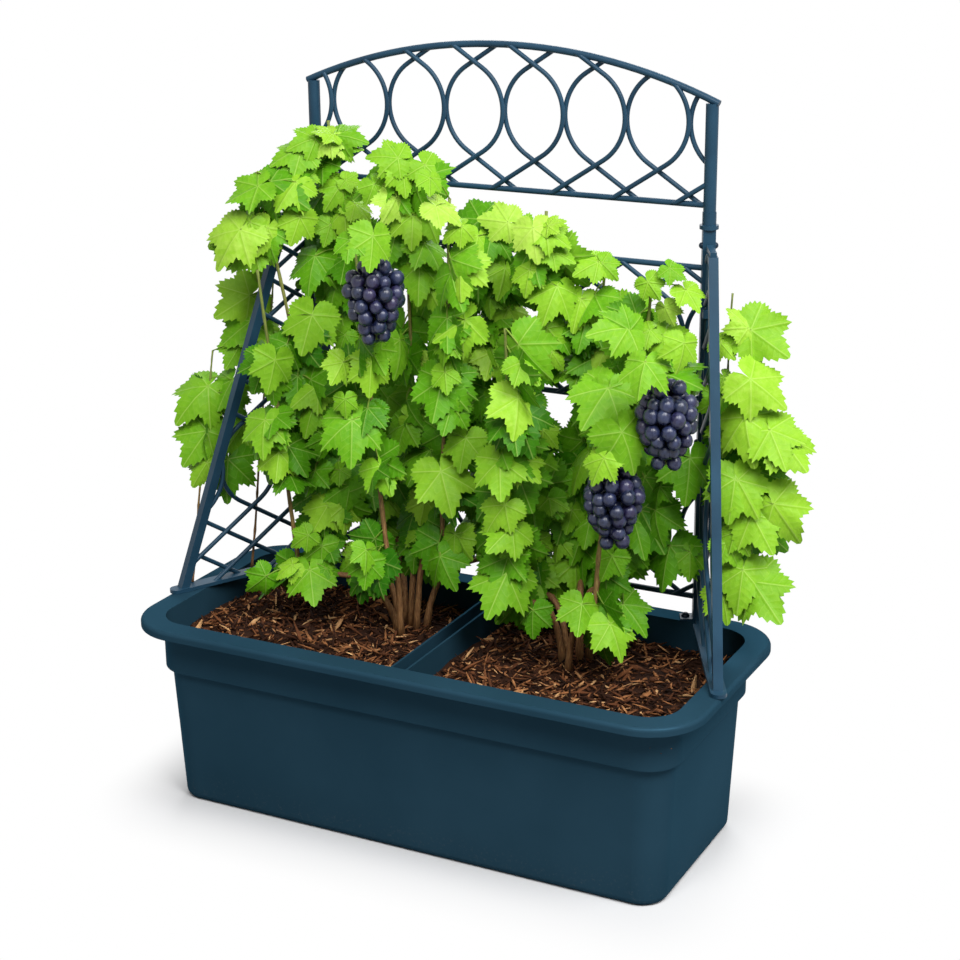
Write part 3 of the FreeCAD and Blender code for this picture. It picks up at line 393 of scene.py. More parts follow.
def bed_shape(side):
    """A closed lump: bottom grid, three rings up the wall, top grid."""
    shares = (1 - np.cos(np.linspace(0, math.pi, bed_rows))) / 2
    along, across = np.meshgrid(shares, np.linspace(-1, 1, bed_columns), indexing="ij")
    rings = ((base_inset, base_corner, floor_level), (body_inset, body_corner, ledge_level),
             (neck_inset, neck_corner, ledge_level), (neck_inset, neck_corner, mulch_level))
    layers = []
    for inset, corner, level in rings:
        x, y = bed_points(side, inset, corner, along, across)
        rise = bed_height(x, y) if level == mulch_level else np.zeros_like(x)
        layers.append(np.stack((x, y, level + rise), axis=-1).reshape(-1, 3))
    edge = np.concatenate((np.arange(bed_columns),
                           np.arange(1, bed_rows) * bed_columns + bed_columns - 1,
                           (bed_rows - 1) * bed_columns + np.arange(bed_columns - 2, -1, -1),
                           np.arange(bed_rows - 2, 0, -1) * bed_columns))
    flat = grid_faces(bed_rows, bed_columns, False)
    count = len(edge)
    points = np.concatenate((layers[0], layers[1][edge], layers[2][edge], layers[3]))
    ledge_start = len(layers[0])
    neck_start = ledge_start + count
    top_start = neck_start + count
    belts = (edge, ledge_start + np.arange(count), neck_start + np.arange(count), top_start + edge)
    faces = [flat[:, ::-1], flat + top_start]
    for low, high in zip(belts[:-1], belts[1:]):
        faces.append(np.stack((low, np.roll(low, -1), np.roll(high, -1), high), axis=-1))
    return points, np.concatenate(faces)


# %% [markdown]
# ## Bark mulch: the shreds
# What the eye reads as mulch is the litter of shreds on top. Each shred is a bent splinter of ten
# faces: three cross sections, narrow at both ends. Thousands of them are made in one go, each
# with its own length, turn and tilt, and a tone that runs from black earth to fresh tan wood.

# %% Mulch shreds
shreds_each = 2800
chip_share, chip_longer, chip_wider = 0.07, 1.5, 2.2
length_shape, length_scale, length_limits = 3.0, 0.0046, (0.005, 0.042)
width_limits, thick_limits = (0.0012, 0.0044), (0.0008, 0.0026)
bend_spread, tilt_spread, twist_spread = 0.10, 0.30, 0.5
lift_limits, tilt_lift = (-0.001, 0.0035), 0.7
along_limits, across_limits = (0.02, 0.985), (-0.97, 0.97)
sections = np.array(((-0.5, 0.35), (0.0, 1.0), (0.5, 0.25)))
section_corners = np.array(((-0.5, -0.5), (0.5, -0.5), (0.5, 0.5), (-0.5, 0.5)))
shred_points = len(sections) * len(section_corners)


def turned_pair(first, second, angle):
    """Two coordinates turned in their plane: first cos - second sin, and first sin + second cos."""
    c, s = np.cos(angle), np.sin(angle)
    return first * c - second * s, first * s + second * c


def shred_shapes(side):
    """Splinter points: length times its share along, width and thickness times the corner, a sag in the
    middle, then turned about the vertical, tilted and laid on the bed."""
    count = shreds_each
    chip = random.uniform(0, 1, count) < chip_share
    length = random.gamma(length_shape, length_scale, count).clip(*length_limits)
    length = length * np.where(chip, chip_longer, 1.0)
    width = random.uniform(*width_limits, count) * np.where(chip, chip_wider, 1.0)
    thick = random.uniform(*thick_limits, count)
    bend = random.normal(0, bend_spread, count)
    along = sections[None, :, None, 0] * length[:, None, None]
    swell = sections[None, :, None, 1]
    across = section_corners[None, None, :, 0] * width[:, None, None] * swell
    over = section_corners[None, None, :, 1] * thick[:, None, None] * swell
    over = over + bend[:, None, None] * length[:, None, None] * (0.25 - sections[None, :, None, 0] ** 2)
    along, across, over = np.broadcast_arrays(along, across, over)
    turn = random.uniform(0, 2 * math.pi, count)[:, None, None]
    tilt = random.normal(0, tilt_spread, count)[:, None, None]
    twist = random.normal(0, twist_spread, count)[:, None, None]
    across, over = turned_pair(across, over, twist)
    along, over = turned_pair(along, over, tilt)
    x, y = turned_pair(along, across, turn)
    share_along = random.uniform(*along_limits, count)
    share_across = random.uniform(*across_limits, count)
    spot_x, spot_y = bed_points(side, neck_inset, neck_corner, share_along, share_across)
    reach = length / 2
    limit_y = rim_half_width - neck_inset - wall_clearance - reach
    inner = divider_half + reach
    outer = rim_half_length - neck_inset - wall_clearance - reach
    spot_y = np.clip(spot_y, -limit_y, limit_y)
    spot_x = side * np.clip(side * spot_x, inner, outer)
    lift = random.uniform(*lift_limits, count) + np.abs(np.sin(tilt.ravel())) * reach * tilt_lift
    level = mulch_level + bed_height(spot_x, spot_y) + lift
    spots = np.stack((spot_x, spot_y, level), axis=-1)[:, None, None]
    return (np.stack((x, y, over), axis=-1) + spots).reshape(count, shred_points, 3)


shred_sides = grid_faces(len(sections), len(section_corners), True)
shred_ends = np.array(((3, 2, 1, 0), (8, 9, 10, 11)))
bed_tone, shred_tone_shape = 0.10, (0.9, 1.5)


def bark_finish():
    """Bark: the tone of each shred runs from wet earth to fresh wood, streaked along with noise."""
    material, tree, shader, place = start_finish("bark")
    tone = per_point(tree, "tone")
    grit = noise(tree, place, 420.0, 5.0, 0.7)
    mixed = calc(tree, "ADD", times(tree, tone, 0.78), times(tree, grit, 0.3))
    stops = ((0.12, paint(24, 14, 10)), (0.34, paint(62, 36, 23)), (0.54, paint(112, 69, 43)),
             (0.74, paint(168, 113, 71)), (0.92, paint(228, 182, 128)))
    tone = colours(tree, mixed, *stops)
    wire(tree, shader, {"Base Color": tone, "Roughness": 0.85, "Specular IOR Level": 0.12})
    raise_bump(tree, shader, grit, 0.0018, 0.8)
    return material


bark = bark_finish()
for label, side in sides.items():
    bed, bed_quads = bed_shape(side)
    shreds = shred_shapes(side)
    shred_quads = repeat_faces(np.concatenate((shred_sides, shred_ends)), shreds_each, shred_points)
    shred_tone = np.repeat(random.beta(*shred_tone_shape, shreds_each), shred_points)
    tone = np.concatenate((np.full(len(bed), bed_tone), shred_tone))
    add_piece("bark_" + label, np.concatenate((bed, shreds.reshape(-1, 3))),
              [bed_quads if side > 0 else bed_quads[:, ::-1], shred_quads + len(bed)],
              bark, "planter", ["mulch_" + label], {"tone": tone})

# %% [markdown]
# ## Where the vines grow
# The CAD model says where each shoot leaves the bark, where it bends and where it ends, as shares
# of the post spread, of the rim's half width and of the trellis height. The same tables are kept
# here, so that every cane and leaf stands where its plain CAD solid does.

# %% Shoots
# Across and depth of the root, across, depth and height of the knee, across and height of the tip
left_shoot_shares = np.array((
    (-0.37, 0.38, -0.56, 0.73, 0.10, -0.86, 0.93),
    (-0.33, 0.34, -0.33, 0.52, 0.08, -0.40, 0.90),
    (-0.38, 0.31, -0.72, 0.31, 0.10, -1.09, 0.84),
    (-0.37, 0.25, -0.85, 0.10, 0.06, -1.02, 0.66),
    (-0.32, 0.16, -0.36, 0.10, 0.11, -0.50, 0.76),
    (-0.28, 0.29, -0.14, 0.31, 0.14, -0.08, 0.82),
    (-0.26, 0.38, -0.03, 0.73, 0.08, 0.02, 0.79),
))
right_shoot_shares = np.array((
    (0.50, 0.34, 0.25, 0.52, 0.06, 0.33, 0.80),
    (0.54, 0.40, 0.45, 0.73, 0.08, 0.56, 0.72),
    (0.57, 0.30, 0.67, 0.31, 0.10, 0.84, 0.60),
    (0.60, 0.36, 0.72, 0.52, 0.10, 0.84, 0.70),
    (0.50, 0.25, 0.30, 0.10, 0.07, 0.26, 0.60),
    (0.56, 0.14, 0.70, 0.10, 0.06, 0.78, 0.50),
))
# Place along the wing of foot and tip, heights of tip and lowest leaf, lean away from the wing
wing_cane_shares = {
    "left": ((0.92, 0.58, 0.46, 0.20, 0.24), (0.52, 0.18, 0.72, 0.34, 0.12)),
    "right": ((0.16, 0.12, 0.66, 0.14, 0.08), (0.46, 0.30, 0.56, 0.10, 0.20)),
}
# The shoot that carries the bunch, height of the joint, across, depth and height of its crown
bunch_shares = {
    "left_grapes": (left_shoot_shares[4], 0.740, -0.316, -0.11, 0.721),
    "right_high_grapes": (right_shoot_shares[2], 0.575, 1.063, -0.05, 0.552),
    "right_low_grapes": (right_shoot_shares[5], 0.420, 0.843, -0.11, 0.393),
}
bunch_length = 0.116


def spread_point(across, depth, level):
    """A point from shares of the post spread and of the rim's half width, at a level."""
    return np.array((across * post_x, depth * rim_half_width, level))


def trellis_level(share):
    """A level from a share of the trellis height above the rim."""
    return rim_level + share * trellis_height


def shoot_points(shoot):
    """Root, knee and tip of one shoot."""
    return np.stack((
        spread_point(shoot[0], shoot[1], mulch_level),
        spread_point(shoot[2], shoot[3], trellis_level(shoot[4])),
        spread_point(shoot[5], shoot[3], trellis_level(shoot[6])),
    ))


def wing_frame(side):
    """Turn and place of a wing: its own X points across it and its own -Y along it, turned by the splay
    about the post."""
    c, s = math.cos(side * wing_splay), math.sin(side * wing_splay)
    return np.array(((c, -s, 0), (s, c, 0), (0, 0, 1))), np.array((side * post_x, post_y, 0))


wing_cane_out = 0.0093
vine_shoots = {
    "left": [shoot_points(shoot) for shoot in left_shoot_shares],
    "right": [shoot_points(shoot) for shoot in right_shoot_shares],
}
bunch_tops = {name: spread_point(across, depth, trellis_level(height))
              for name, (shoot, joint, across, depth, height) in bunch_shares.items()}
bunch_middles = np.stack([top - UP * bunch_length / 2 for top in bunch_tops.values()])
print("shoots:", {name: len(rows) for name, rows in vine_shoots.items()})

# %% [markdown]
# ## Canes
# A cane is a tube: a ring of points carried along a path. The path bends smoothly through root,
# knee and tip, the radius tapers and swells at each leaf joint, and a small ripple round the
# ring keeps it from looking turned on a lathe. The colour goes from brown bark at the foot to
# green at the growing end.

# %% Cane surfaces
cane_steps, cane_sides = 56, 8
cane_rise, arch_lag, knee_blend = 0.70, 0.50, 0.45
cane_sway, sway_turns, sway_start = 0.0022, 9, 4000
cane_joints, joint_swell, bark_ripple = 9, 0.28, 0.08
green_rate, green_delay = 1.5, 0.35
vine_radii, wing_radii = (0.0050, 0.0018), (0.0019, 0.0012)


def bent_path(points, steps, rise=0.0):
    """A smooth path through a root, a knee and a tip: a quadratic curve that first climbs by the rise and
    arches over to the knee, blended into a straight run from there to the tip."""
    share = np.linspace(0, 1, steps)[:, None]
    root, knee, tip = points
    low = np.linalg.norm(knee - root)
    knee_share = low / (low + np.linalg.norm(tip - knee))
    way = np.minimum(share / knee_share, 1)
    climb = UP * abs(knee[2] - root[2])
    crest = root + 0.5 * (knee - root) + rise * (climb - arch_lag * (knee - root) * LEVEL)
    first = root * (1 - way) ** 2 + 2 * crest * way * (1 - way) + knee * way ** 2
    second = knee + (tip - knee) * (share - knee_share) / (1 - knee_share)
    width = knee_blend * min(knee_share, 1 - knee_share)
    blend = np.clip((share - knee_share + width) / (2 * width), 0, 1)
    return first * (1 - blend) + second * blend


def tube(path, radius, sides):
    """Rings about a path: each ring lies across the path's direction and has the radius given there."""
    heading = unit(np.gradient(path, axis=0))
    one = unit(np.cross(heading, RIGHT + 0.01 * UP))
    two = np.cross(heading, one)
    angle = np.linspace(0, 2 * math.pi, sides, endpoint=False)[None, :, None]
    ring = one[:, None] * np.cos(angle) + two[:, None] * np.sin(angle)
    return path[:, None] + ring * radius[:, :, None]


def cane_shape(points, foot_radius, tip_radius):
    """A tube that tapers from foot to tip, with swellings at its joints and a ripple in its bark. Three
    points make a bent cane, two a straight one; both sway a little about their line."""
    bent = len(points) == 3
    path = bent_path(points, cane_steps, cane_rise) if bent else np.linspace(*points, cane_steps)
    share = np.linspace(0, 1, cane_steps)[:, None]
    sway = cane_sway * np.sin(sway_turns * share + foot_radius * sway_start) * np.sin(math.pi * share)
    path = path + sway * RIGHT + 0.5 * sway * FORWARD
    taper = foot_radius + (tip_radius - foot_radius) * np.sqrt(share)
    swell = 1 + joint_swell * np.maximum(np.cos(2 * math.pi * cane_joints * share), 0) ** 8
    ripple = 1 + bark_ripple * random.normal(size=(cane_steps, cane_sides))
    return tube(path, taper * swell * ripple, cane_sides), share


def cane_finish():
    """Cane: brown fibrous bark at the foot, green and smooth at the tip, with long streaks."""
    material, tree, shader, place = start_finish("cane")
    young = per_point(tree, "young")
    stretch = add_node(tree, "Mapping", {"Vector": place, "Scale": (1.0, 1.0, 0.12)}).outputs[0]
    streak = noise(tree, stretch, 700.0, 4.0, 0.65)
    wood = colours(tree, streak, (0.3, paint(84, 56, 32)), (0.55, paint(146, 104, 62)),
                   (0.75, paint(186, 146, 96)))
    shoot = colours(tree, streak, (0.3, paint(92, 104, 42)), (0.7, paint(138, 152, 66)))
    wire(tree, shader, {"Base Color": mix(tree, young, wood, shoot), "Roughness": 0.68})
    raise_bump(tree, shader, streak, 0.0010, 0.6)
    return material


def tube_faces(steps, sides):
    """Faces along a tube, and one that closes each of its ends."""
    ring = np.arange(sides)
    return grid_faces(steps, sides, True), np.stack((ring[::-1], ring + (steps - 1) * sides))


cane_material = cane_finish()


def add_canes(name, rows, radii, body, replaced):
    """All canes of one vine or wing as one piece."""
    shapes = []
    ages = []
    for points in rows:
        shape, share = cane_shape(points, *radii)
        shapes.append(shape.reshape(-1, 3))
        ages.append(np.repeat(np.clip(green_rate * share - green_delay, 0, 1), cane_sides))
    each = cane_steps * cane_sides
    faces = [repeat_faces(part, len(rows), each) for part in tube_faces(cane_steps, cane_sides)]
    return add_piece(name, np.concatenate(shapes), faces, cane_material, body, replaced,
                     {"young": np.concatenate(ages)})


for label, rows in vine_shoots.items():
    add_canes(label + "_canes", rows, vine_radii, "planter", [label + "_vine_canes"])
wing_canes = {}
for label, side in sides.items():
    turn, base = wing_frame(side)
    rows = []
    for foot, tip, tip_height, leaf_height, lean in wing_cane_shares[label]:
        low = np.array((side * wing_cane_out, -foot * wing_reach, bar_top))
        out = wing_cane_out + lean * wing_reach
        high = np.array((side * out, -tip * wing_reach, trellis_level(tip_height)))
        rows.append(np.stack((turn @ low + base, turn @ high + base)))
    wing_canes[label] = rows
    add_canes(label + "_side_canes", rows, wing_radii, label + "_wing", [label + "_wing_canes"])

# %% [markdown]
# ## Vine leaves
# A vine leaf is broad and has five lobes with toothed edges, on a thin stalk. Its blade is a
# function of two values: the angle about the stalk's end and the share of the way to the edge.
# A table gives the edge's distance at the tips of the lobes and the bays between them, and every
# second point of the edge is drawn in to make the teeth. The blade then folds along its middle
# vein, arches back towards its edge and ripples there, each leaf by its own amount.

# %% Leaf blade
leaf_length = 0.060
stalk_length = 0.026
leaf_spacing = 0.037
edge_angles_deg = np.array((0, 9, 18, 29, 39, 49, 58, 68, 80, 93, 106, 120, 138, 154, 166, 174, 180))
edge_shares = np.array((1.0, 0.93, 0.82, 0.65, 0.75, 0.85, 0.80, 0.70, 0.58, 0.64, 0.68, 0.64, 0.57,
                        0.50, 0.41, 0.25, 0.08))
blade_columns = 20
teeth_each = 2
tooth_share = 0.10
edge_each = 2 * teeth_each
ring_places = np.array((0.40, 0.74))
vein_angles_deg = (0, 50, 108)
vein_swell, vein_half_deg = 0.08, 25
edge_waves = 5
stalk_radius, stalk_bow = 0.0013, 0.6


def blade_edge(angle):
    """Distance from the stalk's end to the edge, from the table and alike on both halves."""
    return np.interp(np.abs(np.degrees(angle)), edge_angles_deg, edge_shares)


def blade_grid():
    """Flat leaf of length 1, u across and v along: its middle, two rings, and an edge with more points,
    which are the bays between the teeth and the tips of the teeth by turns."""
    number = np.arange(edge_each * blade_columns)
    edge_angle = (2 * number / len(number) - 1) * math.pi
    bay_angle = edge_angle[::edge_each]
    edge_reach = blade_edge(edge_angle) * (1 - tooth_share * (number % 2 == 0))
    edge_reach = np.where(np.abs(edge_angle) < math.pi / len(number), 1.0, edge_reach)
    angle = np.concatenate(((0.0,), np.tile(bay_angle, 2), edge_angle))
    reach = np.concatenate(((0.0,), np.outer(ring_places, blade_edge(bay_angle)).ravel(), edge_reach))
    return reach * np.sin(angle), reach * np.cos(angle)


blade_u, blade_v = blade_grid()
blade_count = len(blade_u)
blade_reach = np.hypot(blade_u, blade_v)
blade_turn = np.abs(np.degrees(np.arctan2(blade_u, blade_v)))
vein_distance = np.min([np.abs(blade_turn - angle) for angle in vein_angles_deg], axis=0)
column = np.arange(blade_columns)
next_column = (column + 1) % blade_columns
outer_ring = 1 + blade_columns
edge_start = 1 + 2 * blade_columns
blade_fan = np.stack((np.zeros_like(column), 1 + next_column, 1 + column), axis=-1)
blade_quads = grid_faces(2, blade_columns, True) + 1
edge_count = edge_each * blade_columns
rim_edge = [edge_start + (edge_each * column + step) % edge_count for step in range(edge_each, -1, -1)]
blade_rim = np.stack((outer_ring + column, outer_ring + next_column, *rim_edge), axis=-1)
stalk_steps, stalk_sides = 4, 3
stalk_quads = grid_faces(stalk_steps, stalk_sides, True) + blade_count
leaf_points = blade_count + stalk_steps * stalk_sides
leaf_parts = (blade_fan, blade_quads, blade_rim, stalk_quads)
print("one leaf:", leaf_points, "points,", sum(len(part) for part in leaf_parts), "faces")


def leaf_shapes(joint, base, along, facing, grown, curl):
    """Points of many leaves: the flat blade times its length, lifted by a fold that grows with u, an arch
    that grows with the square of the reach, a swelling between the veins and a ripple at the edge, then
    set on the end of a stalk that bows from the joint on its cane."""
    across = np.cross(facing, along)
    length = (leaf_length * grown)[:, None]
    u = blade_u * length
    v = blade_v * length
    fold = -curl[:, :1] * np.abs(blade_u)
    arch = -curl[:, 1:2] * blade_reach ** 2
    swell = vein_swell * np.minimum(vein_distance / vein_half_deg, 1) * blade_reach
    wave = edge_waves * np.radians(blade_turn) * np.sign(blade_u) + curl[:, 3:4]
    ripple = curl[:, 2:3] * np.sin(wave) * blade_reach ** 2
    skew = curl[:, 4:] * blade_u * blade_reach
    lift = (fold + arch + swell + ripple + skew) * length
    blade = (base[:, None] + along[:, None] * v[..., None] + across[:, None] * u[..., None]
             + facing[:, None] * lift[..., None])
    way = np.linspace(0, 1, stalk_steps)[None, :, None]
    run = base - joint
    bow = stalk_bow * np.linalg.norm(run, axis=-1)[:, None, None] * (way - way ** 2)
    line = joint[:, None] + run[:, None] * way + (0.5 * facing + 0.5 * UP)[:, None] * bow
    turn = np.linspace(0, 2 * math.pi, stalk_sides, endpoint=False)[None, None, :, None]
    ring = across[:, None, None] * np.cos(turn) + facing[:, None, None] * np.sin(turn)
    stalks = line[:, :, None] + ring * stalk_radius
    return np.concatenate((blade, stalks.reshape(len(joint), -1, 3)), axis=1)


# %% [markdown]
# ## Leaves along the canes
# Leaves stand alternately to both hands of a cane, one to every 37 mm, as the CAD leaves do. Every
# leaf is then turned about its three axes by seeded random angles, so that no two lie alike. Where
# a bunch hangs, the leaves stand back from it.

# %% Leaves along the canes
leaf_size_shares = np.array((1.0, 0.86, 1.06, 0.92))
clear_of_bunch = 0.66 * bunch_length
# Direction and facing, each outward, forward and up, then the shift along the cane and the size
main_leaf = ((0.66, 0.36, -0.66), (0.20, 0.95, 0.25), 0.0, 1.0)
filler_leaf = ((0.30, 0.42, -0.86), (0.10, 0.90, 0.42), 0.5, 0.80)
wing_leaf = ((0.82, 0.16, -0.55), (0.20, 0.95, 0.25), 0.0, 1.0)
leaf_turns_deg, widest_turn = (26, 24, 20), 1.8


def turned(vectors, axis, angle):
    """Each vector turned about its own axis: v cos + (axis x v) sin + axis (axis . v)(1 - cos)."""
    c = np.cos(angle)[:, None]
    s = np.sin(angle)[:, None]
    along = np.sum(vectors * axis, axis=-1, keepdims=True)
    return vectors * c + np.cross(axis, vectors) * s + axis * along * (1 - c)


def leaf_places(first, last, outward, forward, hands, reach, face, shift, size):
    """Joint, direction, facing and size of the leaves along a straight cane."""
    rise = last - first
    count = int(rise[2] / leaf_spacing)
    hand_number, number = np.meshgrid(np.arange(len(hands)), np.arange(count), indexing="ij")
    hand = np.array(hands)[hand_number].ravel()[:, None]
    share = ((number + 1 - hand_number / len(hands)) / count).ravel()[:, None] - shift / count
    joint = first + rise * share
    along = unit(outward * hand * reach[0] + forward * reach[1] + UP * reach[2])
    facing = outward * hand * face[0] + forward * face[1] + UP * face[2]
    grown = leaf_size_shares[(number + 2 * hand_number) % len(leaf_size_shares)].ravel() * size
    return joint, along, facing, grown


def scattered(places, spread):
    """The same leaves, each turned a little about its facing, its own length and its own width."""
    joint, along, facing, grown = places
    angles = random.normal(0, 1, (len(joint), 3)).clip(-widest_turn, widest_turn) * np.radians(spread)
    facing = unit(facing - along * np.sum(along * facing, axis=-1, keepdims=True))
    along = turned(along, facing, angles[:, 0])
    facing = turned(facing, along, angles[:, 1])
    across = np.cross(facing, along)
    along, facing = turned(along, across, angles[:, 2]), turned(facing, across, angles[:, 2])
    return joint, along, facing, grown


def joined(parts):
    """Several sets of leaves as one."""
    return [np.concatenate(columns) for columns in zip(*parts)]


def cane_leaves(rows, outward, forward, hands, kinds):
    """Leaves of several canes, kept clear of the grapes, with their stalks straight out of the joint."""
    parts = []
    for first, last in rows:
        for reach, face, shift, size in kinds:
            parts.append(leaf_places(first, last, outward, forward, hands, reach, face, shift, size))
    places = joined(parts)
    middle = places[0] + places[1] * (stalk_length + leaf_length / 2)
    apart = np.linalg.norm(middle[:, None] - bunch_middles[None], axis=-1).min(axis=1)
    keep = apart > clear_of_bunch
    joint, along, facing, grown = scattered([column[keep] for column in places], leaf_turns_deg)
    return joint, joint + along * (stalk_length * grown)[:, None], along, facing, grown


# %% [markdown]
# ## Leaves at the front
# What makes a vine look like this one is where its front leaves lie. Each row names one leaf by two
# pixels of the picture: the end of its stalk and its tip. A ray through the first pixel passes near
# some cane; the leaf is put where the ray comes nearest to a cane, a little towards the eye, and
# its stalk grows from that cane. The second pixel gives its direction and length. The leaves on
# the wings and those that hang over the bunches have tables of their own.

# %% Front leaves as seen
front_leaves_px = {
    "left": (
        (332, 134, 311, 132), (330, 137, 309, 157), (337, 135, 365, 136), (342, 144, 364, 147),
        (336, 145, 346, 159), (316, 138, 288, 144), (302, 148, 267, 160), (300, 158, 280, 174),
        (258, 186, 223, 203), (296, 182, 275, 206), (303, 174, 309, 192), (341, 185, 324, 208),
        (346, 180, 364, 185), (345, 209, 345, 240), (355, 204, 373, 222), (402, 168, 408, 198),
        (405, 164, 393, 144), (398, 158, 367, 152), (436, 206, 463, 222), (413, 215, 412, 247),
        (425, 210, 436, 242), (430, 178, 430, 197), (425, 165, 449, 187), (268, 228, 255, 258),
        (246, 222, 212, 266), (300, 217, 290, 247), (315, 256, 303, 291), (312, 315, 300, 358),
        (400, 340, 405, 376), (382, 340, 364, 354), (345, 335, 337, 355), (275, 360, 268, 397),
        (265, 420, 258, 455), (279, 452, 275, 483), (314, 405, 302, 438), (318, 385, 288, 408),
        (352, 420, 352, 463), (345, 399, 346, 419), (371, 364, 370, 399), (343, 362, 332, 385),
        (405, 424, 393, 456), (408, 416, 428, 422), (328, 505, 310, 535), (345, 505, 346, 536),
        (322, 546, 320, 578), (310, 570, 314, 607), (308, 535, 289, 548), (266, 576, 245, 594),
        (293, 565, 274, 576), (355, 550, 346, 567), (366, 550, 368, 574), (402, 537, 385, 568),
        (326, 568, 336, 585), (388, 448, 364, 476), (388, 395, 424, 384), (508, 222, 476, 217),
        (524, 230, 512, 210), (478, 236, 475, 259), (462, 226, 442, 238), (424, 243, 446, 270),
        (420, 264, 417, 303), (426, 281, 442, 316), (505, 268, 502, 298), (462, 262, 456, 299),
        (490, 296, 487, 318), (465, 320, 430, 340), (487, 325, 503, 345), (477, 355, 458, 379),
        (492, 352, 486, 382), (500, 357, 508, 389), (508, 308, 525, 335), (490, 345, 512, 350),
        (445, 372, 447, 396), (497, 392, 488, 416), (452, 404, 443, 436), (490, 424, 488, 457),
        (441, 471, 452, 516), (430, 450, 403, 478), (470, 497, 493, 510), (424, 531, 419, 559),
        (455, 534, 452, 560), (458, 537, 468, 562), (440, 556, 452, 590), (340, 470, 322, 484),
        (350, 485, 322, 500), (395, 478, 372, 504), (425, 500, 420, 528), (377, 436, 370, 464),
        (380, 466, 393, 495), (387, 497, 377, 526), (374, 184, 388, 206), (396, 198, 384, 224),
        (466, 438, 458, 472), (448, 340, 438, 364), (428, 362, 420, 388), (338, 281, 326, 312),
        (326, 436, 322, 464), (330, 225, 324, 248), (250, 222, 234, 246), (368, 562, 364, 592),
        (352, 562, 349, 587),
    ),
    "right": (
        (548, 226, 565, 220), (546, 231, 571, 244), (533, 228, 536, 261), (557, 286, 543, 318),
        (581, 299, 572, 331), (598, 262, 574, 272), (602, 263, 618, 279), (552, 250, 576, 262),
        (522, 362, 540, 384), (552, 352, 566, 370), (547, 328, 543, 357), (518, 398, 517, 438),
        (543, 430, 560, 447), (608, 345, 590, 377), (628, 328, 591, 328), (608, 388, 582, 424),
        (610, 388, 612, 420), (630, 330, 605, 315), (500, 460, 500, 500), (520, 460, 540, 480),
        (547, 499, 540, 531), (549, 498, 569, 508), (572, 510, 566, 536), (505, 505, 482, 531),
        (512, 527, 487, 550), (515, 541, 500, 558), (524, 514, 520, 540), (538, 541, 541, 564),
        (575, 562, 580, 597), (535, 570, 537, 604), (507, 573, 487, 615), (533, 610, 530, 640),
        (582, 604, 578, 636), (610, 624, 625, 657), (623, 604, 648, 631), (590, 450, 562, 485),
        (650, 330, 628, 338), (648, 282, 660, 300), (670, 268, 686, 280), (686, 290, 700, 308),
        (665, 307, 672, 325), (660, 486, 652, 507), (655, 510, 655, 545), (690, 458, 688, 503),
        (670, 545, 658, 590), (632, 548, 625, 580), (620, 400, 612, 440), (600, 425, 590, 455),
        (664, 335, 690, 352), (560, 540, 552, 562), (586, 322, 577, 352), (612, 556, 600, 582),
        (696, 380, 692, 406), (590, 520, 584, 548), (530, 270, 524, 296), (580, 478, 570, 498),
        (556, 585, 558, 611), (650, 436, 648, 468), (690, 552, 692, 580),
    ),
}
side_leaves_px = {
    "left": (
        (255, 292, 211, 320), (252, 320, 214, 349), (262, 258, 256, 284), (262, 325, 270, 352),
        (208, 386, 172, 414), (232, 380, 214, 411), (212, 424, 180, 468), (243, 425, 222, 456),
        (228, 459, 224, 505), (207, 462, 189, 489), (240, 345, 224, 372), (232, 395, 240, 420),
    ),
    "right": (
        (748, 328, 730, 306), (750, 329, 788, 357), (720, 342, 734, 357), (748, 377, 788, 406),
        (727, 396, 768, 411), (722, 398, 716, 430), (724, 377, 735, 393), (745, 417, 750, 460),
        (733, 421, 723, 455), (770, 430, 786, 466), (782, 438, 806, 470), (735, 479, 730, 521),
        (738, 480, 758, 516), (765, 491, 799, 542), (752, 514, 772, 552), (735, 532, 750, 553),
        (726, 543, 742, 567), (744, 568, 778, 620), (743, 570, 737, 612), (722, 592, 730, 620),
    ),
}
cover_leaves_px = {
    "left_grapes": ((373, 236, 371, 272), (350, 240, 346, 262)),
    "right_high_grapes": ((645, 362, 636, 392), (684, 343, 682, 371)),
    "right_low_grapes": ((604, 458, 590, 483), (622, 432, 640, 472)),
}
print("front leaves:", {label: len(rows) for label, rows in front_leaves_px.items()})

# %% [markdown]
# ## From pixels to leaves
# A row gives a leaf's stalk end and tip in the picture but not how far away they are. That comes
# from the canes: two lines in space are nearest where the gap between them is square to both, and
# this gives the place on the ray and the place on the cane. A row that is too long for one leaf is
# shortened at the stalk's end, so that its tip stays.

# %% Leaves from their pixels
towards_eye, crown_towards_eye = 0.022, 0.036
side_towards_eye = {"left": 0.008, "right": 0.030}
crown_rise = 0.03
leaf_back = 0.172
longest_px = 46
lean_limits, skyward_limits, sideways_spread = (-0.05, 0.55), (0.15, 1.05), 0.42
screen_scale = focal / np.linalg.norm(eye - np.array((0.0, 0.0, rim_level + trellis_height / 2)))


def nearest_on_canes(start, direction, rows):
    """For each ray the nearest approach to any cane: the distance along the ray and the place on the
    cane. Two lines are nearest where the gap between them is square to both."""
    best_gap = np.full(len(direction), np.inf)
    best_far = np.zeros(len(direction))
    best_spot = np.zeros((len(direction), 3))
    for low, high in rows:
        way = high - low
        offset = start - low
        square, mixed = way @ way, direction @ way
        share = (offset @ way - mixed * (direction @ offset)) / (square - mixed ** 2)
        spot = low + np.clip(share, 0, 1)[:, None] * way
        far = np.sum((spot - start) * direction, axis=-1)
        gap = np.linalg.norm(start + direction * far[:, None] - spot, axis=-1)
        nearer = gap < best_gap
        best_gap = np.where(nearer, gap, best_gap)
        best_far = np.where(nearer, far, best_far)
        best_spot = np.where(nearer[:, None], spot, best_spot)
    return best_far, best_spot


